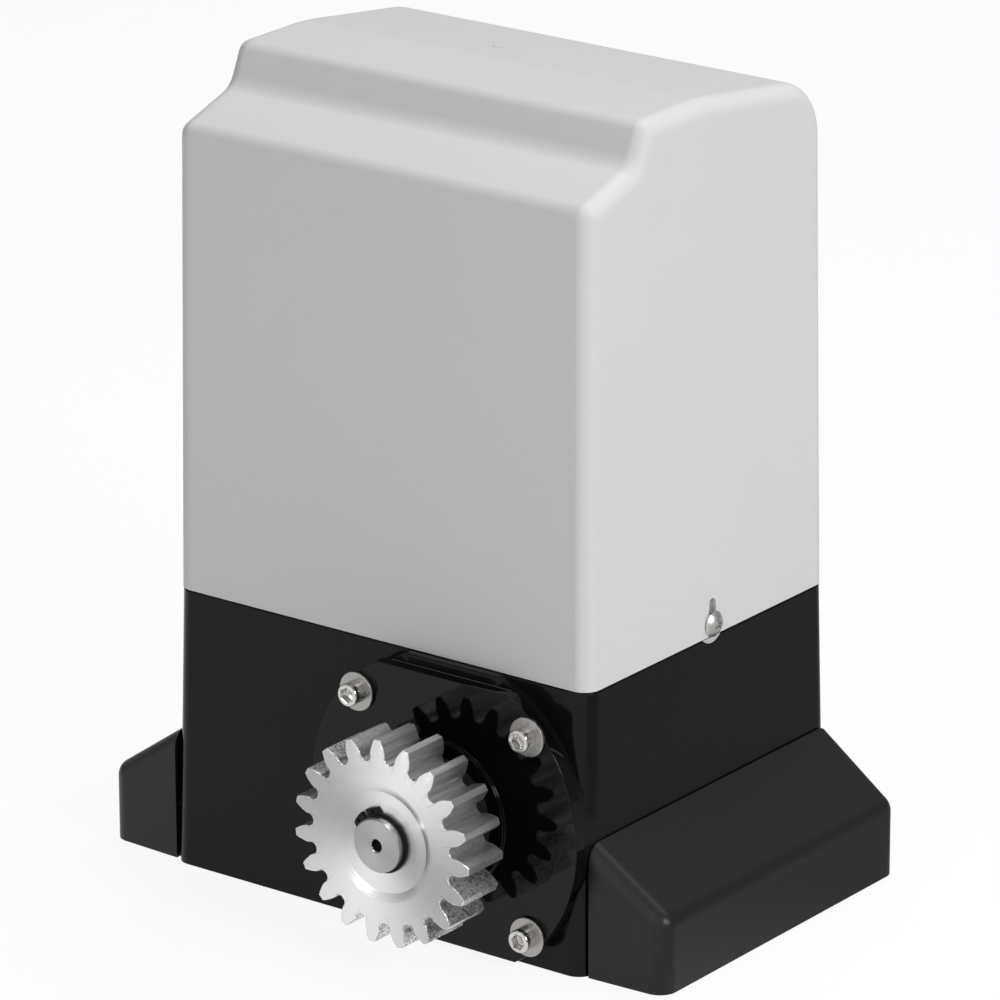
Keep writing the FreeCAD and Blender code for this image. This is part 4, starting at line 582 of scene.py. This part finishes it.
def toothSector(s):
    outline = toothOutline(s)
    count = len(outline)
    step = 2 * math.pi / s["teeth"]
    inset = []
    for i, (x, y) in enumerate(outline):
        x0, y0 = outline[max(i - 1, 0)]
        x1, y1 = outline[min(i + 1, count - 1)]
        length = math.hypot(x1 - x0, y1 - y0)
        inset.append((x - (y1 - y0) / length * s["edge"], y + (x1 - x0) / length * s["edge"]))
    evenly = [-step / 2 + step * i / (count - 1) for i in range(count)]
    inset[0] = (math.hypot(*inset[0]) * math.cos(evenly[0]),
                math.hypot(*inset[0]) * math.sin(evenly[0]))
    inset[-1] = (inset[0][0], -inset[0][1])

    def ring(r):
        return [(r * math.cos(a), r * math.sin(a)) for a in evenly]

    front, back, edge = s["front"], s["back"], s["edge"]
    foot = front + s["recessDepth"]
    rows = [(ring(s["bore"]), back, 0), (ring(s["bore"]), foot, 0),
            (ring(s["recessFoot"] - 0.3), foot, 0), (ring(s["recessFoot"] + 0.1), foot - 0.2, 0),
            (ring(s["recessTop"] - 0.15), front + 0.1, 0), (ring(s["recessTop"] + 0.25), front, 0),
            (ring(s["faceRing"]), front, 0), (inset, front, 0)]
    rows.append(([((a + c) / 2 * 0.6 + c * 0.4, (b + d) / 2 * 0.6 + d * 0.4) for (a, b), (c, d)
                  in zip(inset, outline)], front + edge * 0.3, 0))
    for i in range(s["rows"] + 1):
        rows.append((outline, front + edge + (back - front - 2 * edge) * i / s["rows"],
                     1 if 2 < i < s["rows"] - 1 else 0))
    rows.extend([(inset, back, 0), (ring(s["faceRing"]), back, 0), (ring(s["bore"]), back, 0)])
    points, grain, faces, kinds = [], [], [], []
    turn = math.radians(s["tooth"])
    for line, along, rough in rows:
        for x, z in line:
            points.append(((shaftAxis[0] + x * math.cos(turn) - z * math.sin(turn)) * mm,
                           along * mm,
                           (shaftAxis[1] + x * math.sin(turn) + z * math.cos(turn)) * mm))
            grain.append(float(rough))
    flankStart, flankEnd = 7, len(rows) - 3
    for r in range(len(rows) - 1):
        for i in range(count - 1):
            a = r * count + i
            faces.append((a, a + 1, a + count + 1, a + count))
            kinds.append(0 if r < flankStart or r >= flankEnd else 1)
    mesh = meshFrom("toothSector", points, faces)
    mesh.attributes.new("grain", "FLOAT", "POINT").data.foreach_set("value", grain)
    mesh.attributes.new("kind", "INT", "FACE").data.foreach_set("value", kinds)
    return mesh


def toothTree():
    g = Grower("toothRing")
    count = g.size("Teeth", 19, "Int")
    axisPoint = g.size("Axis", (0.0, 0.0, 0.0), "Vector")
    height = g.size("Grain height", 0.0001)
    scale = g.size("Grain per metre", 1000.0)
    one = g.node("GeometryNodeGeometryToInstance", None, {0: g.source})
    many = g.node("GeometryNodeDuplicateElements", {"domain": "INSTANCE"},
                  {"Geometry": one, "Amount": count})
    place = Wire(g, many.socket.node.outputs[1])
    turnBy = place * (2 * math.pi) / count
    spin = g.node("ShaderNodeCombineXYZ", None, {1: turnBy})
    turned = g.node("GeometryNodeRotateInstances", None, {
        "Instances": many, "Rotation": spin, "Pivot Point": axisPoint, "Local Space": False})
    real = g.node("GeometryNodeRealizeInstances", None, {0: turned})
    whole = g.node("GeometryNodeMergeByDistance", None, {"Geometry": real, "Distance": 0.00002})
    mask = g.node("GeometryNodeInputNamedAttribute", {"data_type": "FLOAT"}, {"Name": "grain"})
    out = g.vectors("SUBTRACT", g.node("GeometryNodeInputPosition"), axisPoint)
    smoothSide = g.vectors("DOT_PRODUCT", out, g.size("Smooth side way", (1.0, 0.0, 0.0), "Vector"), "Value")
    kept = g.node("ShaderNodeMapRange", None, {
        "Value": smoothSide, "From Min": smoothSideSizes["low"], "From Max": smoothSideSizes["high"],
        "To Min": 1.0, "To Max": 0.12})
    fine = g.node("ShaderNodeTexNoise", None, {"Scale": scale, "Detail": 2.0, "Roughness": 0.6})
    broad = g.node("ShaderNodeTexNoise", None, {"Scale": 45.0, "Detail": 1.0})
    swell = (fine - 0.55) * (broad * 2.2 - 0.4) * mask * kept * height
    push = g.vectors("SCALE", g.node("GeometryNodeInputNormal"))
    g.feed(push.socket.node.inputs["Scale"], swell)
    shaped = g.node("GeometryNodeSetPosition", None, {"Geometry": whole, "Offset": push})
    return g.close(shaped)


s = pinionSizes
pinion = newObject("pinion_gear", toothSector(s))
faceLook = turnedLook("turnedFace", shaftCentre, turnedFinish)
toothTree().grow(pinion, looks["pinion_steel"], **{
    "Teeth": s["teeth"], "Axis": shaftCentre, "Smooth side way": smoothSideWay,
    "Grain height": s["grainHeight"] * mm, "Grain per metre": 1.0 / (s["grainSize"] * mm)})
pinion.data.materials.clear()
pinion.data.materials.append(faceLook)
pinion.data.materials.append(looks["pinion_steel"])
kindValues = [0] * len(pinion.data.polygons)
pinion.data.attributes["kind"].data.foreach_get("value", kindValues)
pinion.data.polygons.foreach_set("material_index", kindValues)
work = bmesh.new()
work.from_mesh(pinion.data)
bmesh.ops.recalc_face_normals(work, faces=work.faces)
work.to_mesh(pinion.data)
work.free()
creases(pinion.data, 24)
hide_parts("pinion")
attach(pinion, "pinion_drive")
print("pinion made:", len(pinion.data.polygons), "faces")

# Screws and washers

screwSizes = {"square": 82.4, "seat": -89.6, "washer": 1.6, "washerRadius": 7.95,
              "washerHole": 3.2, "headRadius": 4.65, "headHeight": 5.7, "hexRadius": 3.05,
              "hexDepth": 3.4, "seed": 5}


def socketHead(s):               # one cap screw head with its hexagon socket, along -Y
    r, h = s["headRadius"], s["headHeight"]
    outer = [(0.0, r - 0.1), (-0.1, r), (-(h - 0.9), r), (-(h - 0.55), r - 0.08),
             (-(h - 0.2), r - 0.35), (-h, r - 0.85), (-h, r - 1.5)]
    segments = 48
    points, faces = [], []
    for along, size in outer:
        for i in range(segments):
            a = 2 * math.pi * i / segments
            points.append((size * math.cos(a), along, size * math.sin(a)))

    def hexagon(scale, along):
        for i in range(segments):
            a = 2 * math.pi * i / segments
            k = (a + math.pi / 6) % (math.pi / 3) - math.pi / 6
            size = scale * math.cos(math.pi / 6) / math.cos(k)
            points.append((size * math.cos(a), along, size * math.sin(a)))

    hexagon(s["hexRadius"] + 0.35, -h)
    hexagon(s["hexRadius"], -h + 0.3)
    hexagon(s["hexRadius"], -h + s["hexDepth"])
    hexagon(s["hexRadius"] * 0.5, -h + s["hexDepth"] + 0.5)
    rows = len(points) // segments
    for r0 in range(rows - 1):
        for i in range(segments):
            j = (i + 1) % segments
            faces.append((r0 * segments + i, r0 * segments + j,
                          (r0 + 1) * segments + j, (r0 + 1) * segments + i))
    faces.append(tuple((rows - 1) * segments + i for i in range(segments)))
    return meshFrom("socketHead", [Vector(p) * mm for p in points], faces)


def squareTree():
    g = Grower("fastenerSquare")
    across = g.size("Square", 0.08)
    middle = g.size("Centre", (0.0, 0.0, 0.0), "Vector")
    seed = g.size("Seed", 1, "Int")
    grid = g.node("GeometryNodeMeshGrid", None, {
        "Size X": across, "Size Y": across, "Vertices X": 2, "Vertices Y": 2})
    upright = g.node("GeometryNodeTransform", None, {
        "Geometry": grid, "Translation": middle, "Rotation": (math.radians(90), 0.0, 0.0)})
    twist = g.node("FunctionNodeRandomValue", {"data_type": "FLOAT"}, {
        "Min": 0.0, "Max": math.pi, "Seed": seed}, 1)
    spin = g.node("ShaderNodeCombineXYZ", None, {1: twist})
    many = g.node("GeometryNodeInstanceOnPoints", None, {
        "Points": upright, "Instance": g.source, "Rotation": spin})
    return g.close(many)


s = screwSizes
squareSet = squareTree()
middle = (shaftAxis[0] * mm, (s["seat"] - s["washer"]) * mm, shaftAxis[1] * mm)
heads = newObject("flange_screw_heads", socketHead(s))
squareSet.grow(heads, looks["screw_steel"], **{
    "Square": s["square"] * mm, "Centre": middle, "Seed": s["seed"]})
creases(heads.data, 30)
weigh(heads)
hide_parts("flange_screws")
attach(heads, "base")
washerProfile = [(0.0, s["washerHole"]), (0.0, s["washerRadius"] - 0.3),
                 (-0.25, s["washerRadius"]), (-1.3, s["washerRadius"]),
                 (-1.5, s["washerRadius"] - 0.15), (-1.6, s["washerRadius"] - 0.45),
                 (-1.6, s["washerHole"] + 0.2), (-1.5, s["washerHole"]), (0.0, s["washerHole"])]
washerMesh = lathe("washerRing", [(a * mm, r * mm) for a, r in washerProfile], 64)
washers = newObject("flange_washer_rings", washerMesh)
squareSet.grow(washers, looks["washer_steel"], **{
    "Square": s["square"] * mm, "Centre": (middle[0], s["seat"] * mm, middle[2]), "Seed": 1})
creases(washers.data, 30)
weigh(washers)
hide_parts("flange_washers")
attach(washers, "base")
print("screws and washers made")

# Side screws of the cover

sideSizes = {"along": 1.6, "height": 120.7, "seat": 101.5, "rim": 0.9, "radius": 5.1,
             "ball": 7.01, "cross": 2.2, "arm": 0.5, "turn": 22.0, "recess": 1.5}


def panHead(s):                  # domed head with a cross recess, along +X
    rows = [(0.0, 0.0), (0.0, s["radius"] - 0.1), (0.12, s["radius"]), (s["rim"], s["radius"])]
    centre = s["rim"] - math.sqrt(s["ball"] ** 2 - s["radius"] ** 2)
    steps = 34
    for i in range(1, steps + 1):
        r = s["radius"] * (1 - i / steps)
        rows.append((centre + math.sqrt(s["ball"] ** 2 - r ** 2), max(r, 0.01)))
    segments = 96
    points, faces = [], []
    for along, r in rows:
        for i in range(segments):
            a = 2 * math.pi * i / segments
            u, v = abs(r * math.cos(a)), abs(r * math.sin(a))
            wide = s["arm"] * (1.25 - 0.25 * max(u, v) / s["cross"])
            sunk = along > s["rim"] and min(u, v) < wide and max(u, v) < s["cross"]
            t = a + math.radians(s["turn"])
            points.append(Vector((along - (s["recess"] if sunk else 0.0),
                                  r * math.cos(t), r * math.sin(t))) * mm)
    for row in range(len(rows) - 1):
        for i in range(segments):
            j = (i + 1) % segments
            faces.append((row * segments + i, row * segments + j,
                          (row + 1) * segments + j, (row + 1) * segments + i))
    faces.append(tuple((len(rows) - 1) * segments + i for i in range(segments)))
    faces.append(tuple(range(segments - 1, -1, -1)))
    return meshFrom("panHead", points, faces)


def pairTree():                  # one copy on each side of the object
    g = Grower("sidePair")
    half = g.size("Half width", 0.1)
    along = g.size("Along", 0.0)
    height = g.size("Height", 0.12)
    line = g.node("GeometryNodeMeshLine", {"mode": "END_POINTS"}, {
        "Count": 2,
        "Start Location": g.node("ShaderNodeCombineXYZ", None, {0: half, 1: along, 2: height}),
        "Offset": g.node("ShaderNodeCombineXYZ", None, {0: half * -1.0, 1: along, 2: height})})
    order = g.node("GeometryNodeInputIndex")
    spin = g.node("ShaderNodeCombineXYZ", None, {2: order * math.pi})
    return g.close(g.node("GeometryNodeInstanceOnPoints", None, {
        "Points": line, "Instance": g.source, "Rotation": spin}))


s = sideSizes
sideScrews = newObject("side_screws", panHead(s))
pairTree().grow(sideScrews, looks["pan_steel"], **{
    "Half width": s["seat"] * mm, "Along": s["along"] * mm, "Height": s["height"] * mm})
creases(sideScrews.data, 30)
weigh(sideScrews)
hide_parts("cover_screws")
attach(sideScrews, "base")
print("side screws made")

# Pieces with broken edges

seamSizes = {"height": 115.2, "near": 0.05, "halfWidth": 99.0, "halfDepth": 76.0}


def seamEdge(x, y, z):           # the housing's outline under the cover
    outside = max(abs(x) - seamSizes["halfWidth"], abs(y) - seamSizes["halfDepth"])
    return abs(z - seamSizes["height"]) < seamSizes["near"] and outside > 0


dressed = [
    ("front_flange", "flange_plate", 0.35, "flange_paint", None),
    ("circlip", "shaft_circlip", 0.12, "spring_steel", None),
    ("output_shaft", "shaft_turned", 0.15, "shaft_end", None),
    ("release_lever", "lever_handle", 0.9, "dark_plastic", None),
    ("gland_dome_nut", "gland_cap", 0.4, "gland_plastic", None),
    ("cover_washers", "side_washers", 0.15, "side_washer", None),
    ("gearbox_housing", "housing_casting", 0.7, "black_paint", seamEdge),
]
for node, name, bevel, slot, pick in dressed:
    piece = dress(node, name, bevel * mm, looks[slot], pick=pick)
    if pick:
        weigh(piece)
print("edges broken:", len(dressed))

# Floor, light and camera

stageSizes = {"floor": 12.0, "floorDrop": 0.0004, "floorShade": 0.9, "floorGlow": 0.905,
              "ambient": 0.2, "dimBy": 0.66, "dimFrom": 0.0, "dimTo": 0.2,
              "frontGlow": 0.8, "frontFrom": -0.3, "frontTo": -0.9}
lampAim = (0.0, 0.0, 0.15)
lampSizes = {
    "keyLight": {"spot": (2.0, -0.45, 1.15), "size": (0.55, 0.55), "power": 27.5},
    "frontLight": {"spot": (-0.2, -1.4, 0.7), "size": (0.45, 0.45), "power": 2.2},
    "edgeLight": {"spot": (0.25, -1.05, 1.4), "size": (0.3, 0.3), "power": 2.4},
    "topLight": {"spot": (0.1, 0.65, 2.25), "size": (1.2, 1.2), "power": 31.0},
}
cameraView = {"spot": (1.54457, -2.05094, 1.04972), "azimuth": 36.995, "elevation": 19.299,
              "roll": -0.134, "lens": 248.2, "sensor": 36.0, "near": 0.1, "far": 60.0}

floorMesh = meshFrom("floor", [(-1, -1, 0), (1, -1, 0), (1, 1, 0), (-1, 1, 0)], [(0, 1, 2, 3)])
floorMesh.transform(Matrix.Translation((0, 0, -stageSizes["floorDrop"]))
                    @ Matrix.Scale(stageSizes["floor"], 4))
floor = newObject("floor", floorMesh)
floorLook = Look("paleFloor", Roughness=0.8, Specular_IOR_Level=0.1)
floorLook.colour(rgb(stageSizes["floorShade"]))


def raysOf(graph, *kinds):       # 1 for the named kinds of rays
    path = graph.node("ShaderNodeLightPath").socket.node.outputs
    seen = sum(Wire(graph, path["Is " + kind + " Ray"]) for kind in kinds)
    return graph.maths("MINIMUM", seen, 1.0)


# painted darker reflection: for glossy rays the floor glows less towards +X and +Y, so the black
# paint reflects less there
floorPlace = floorLook.node("ShaderNodeSeparateXYZ", None, {0: floorLook.spot})
farSide = floorPlace + Wire(floorLook, floorPlace.socket.node.outputs[1])
dim = floorLook.node("ShaderNodeMapRange", None, {
    "Value": farSide, "From Min": stageSizes["dimFrom"], "From Max": stageSizes["dimTo"],
    "To Min": 0.0, "To Max": stageSizes["dimBy"]})
glow = floorLook.node("ShaderNodeEmission", None, {
    "Color": floorLook.tint(dim * raysOf(floorLook, "Glossy"), rgb(1.0), rgb(0.0)),
    "Strength": 1.0})
blend = floorLook.node("ShaderNodeMixShader", None, {
    0: raysOf(floorLook, "Camera", "Glossy", "Transmission") * stageSizes["floorGlow"],
    1: Wire(floorLook, floorLook.shader.outputs[0]), 2: glow})
outputNode = next(n for n in floorLook.tree.nodes if n.type == "OUTPUT_MATERIAL")
floorLook.feed(outputNode.inputs[0], blend)
floorMesh.materials.append(floorLook.material)

world = bpy.data.worlds.new("studio")
bpy.context.scene.world = world
world.use_nodes = True
sky = Graph(world.node_tree)
skyNode = world.node_tree.nodes["Background"]
skyNode.inputs["Color"].default_value = rgb(1.0)
behind = raysOf(sky, "Camera", "Transmission")
skyWay = sky.node("ShaderNodeSeparateXYZ", None, {0: sky.node("ShaderNodeTexCoord")})
inFront = sky.node("ShaderNodeMapRange", None, {
    "Value": Wire(sky, skyWay.socket.node.outputs[1]),      # a pale band in front, seen only in reflections: a painted reflection
    "From Min": stageSizes["frontFrom"], "From Max": stageSizes["frontTo"],
    "To Min": 0.0, "To Max": stageSizes["frontGlow"]})
sky.feed(skyNode.inputs["Strength"], behind * (1.0 - stageSizes["ambient"])
         + raysOf(sky, "Glossy") * inFront + stageSizes["ambient"])

for name, lamp in lampSizes.items():
    light = bpy.data.lights.new(name, "AREA")
    light.shape = "RECTANGLE"
    light.size, light.size_y = lamp["size"]
    light.energy = lamp["power"]
    lampObject = newObject(name, light)
    lampObject.location = lamp["spot"]
    aim = Vector(lampAim) - Vector(lamp["spot"])
    lampObject.rotation_euler = aim.to_track_quat("-Z", "Y").to_euler()

cam = bpy.data.cameras.new("view")
cam.lens = cameraView["lens"]
cam.sensor_width = cameraView["sensor"]
cam.clip_start, cam.clip_end = cameraView["near"], cameraView["far"]
camera = newObject("view", cam)
around, above = math.radians(cameraView["azimuth"]), math.radians(cameraView["elevation"])
ahead = Vector((-math.sin(around) * math.cos(above), math.cos(around) * math.cos(above),
                -math.sin(above)))
rightward = Vector((math.cos(around), math.sin(around), 0.0))
upward = rightward.cross(ahead)
roll = math.radians(cameraView["roll"])
rolledRight = rightward * math.cos(roll) + upward * math.sin(roll)
rolledUp = upward * math.cos(roll) - rightward * math.sin(roll)
turnMatrix = Matrix((rolledRight, rolledUp, -ahead)).transposed().to_4x4()
camera.matrix_world = Matrix.Translation(cameraView["spot"]) @ turnMatrix
bpy.context.scene.camera = camera
bpy.context.scene.view_settings.view_transform = "Standard"
print("stage and camera set")
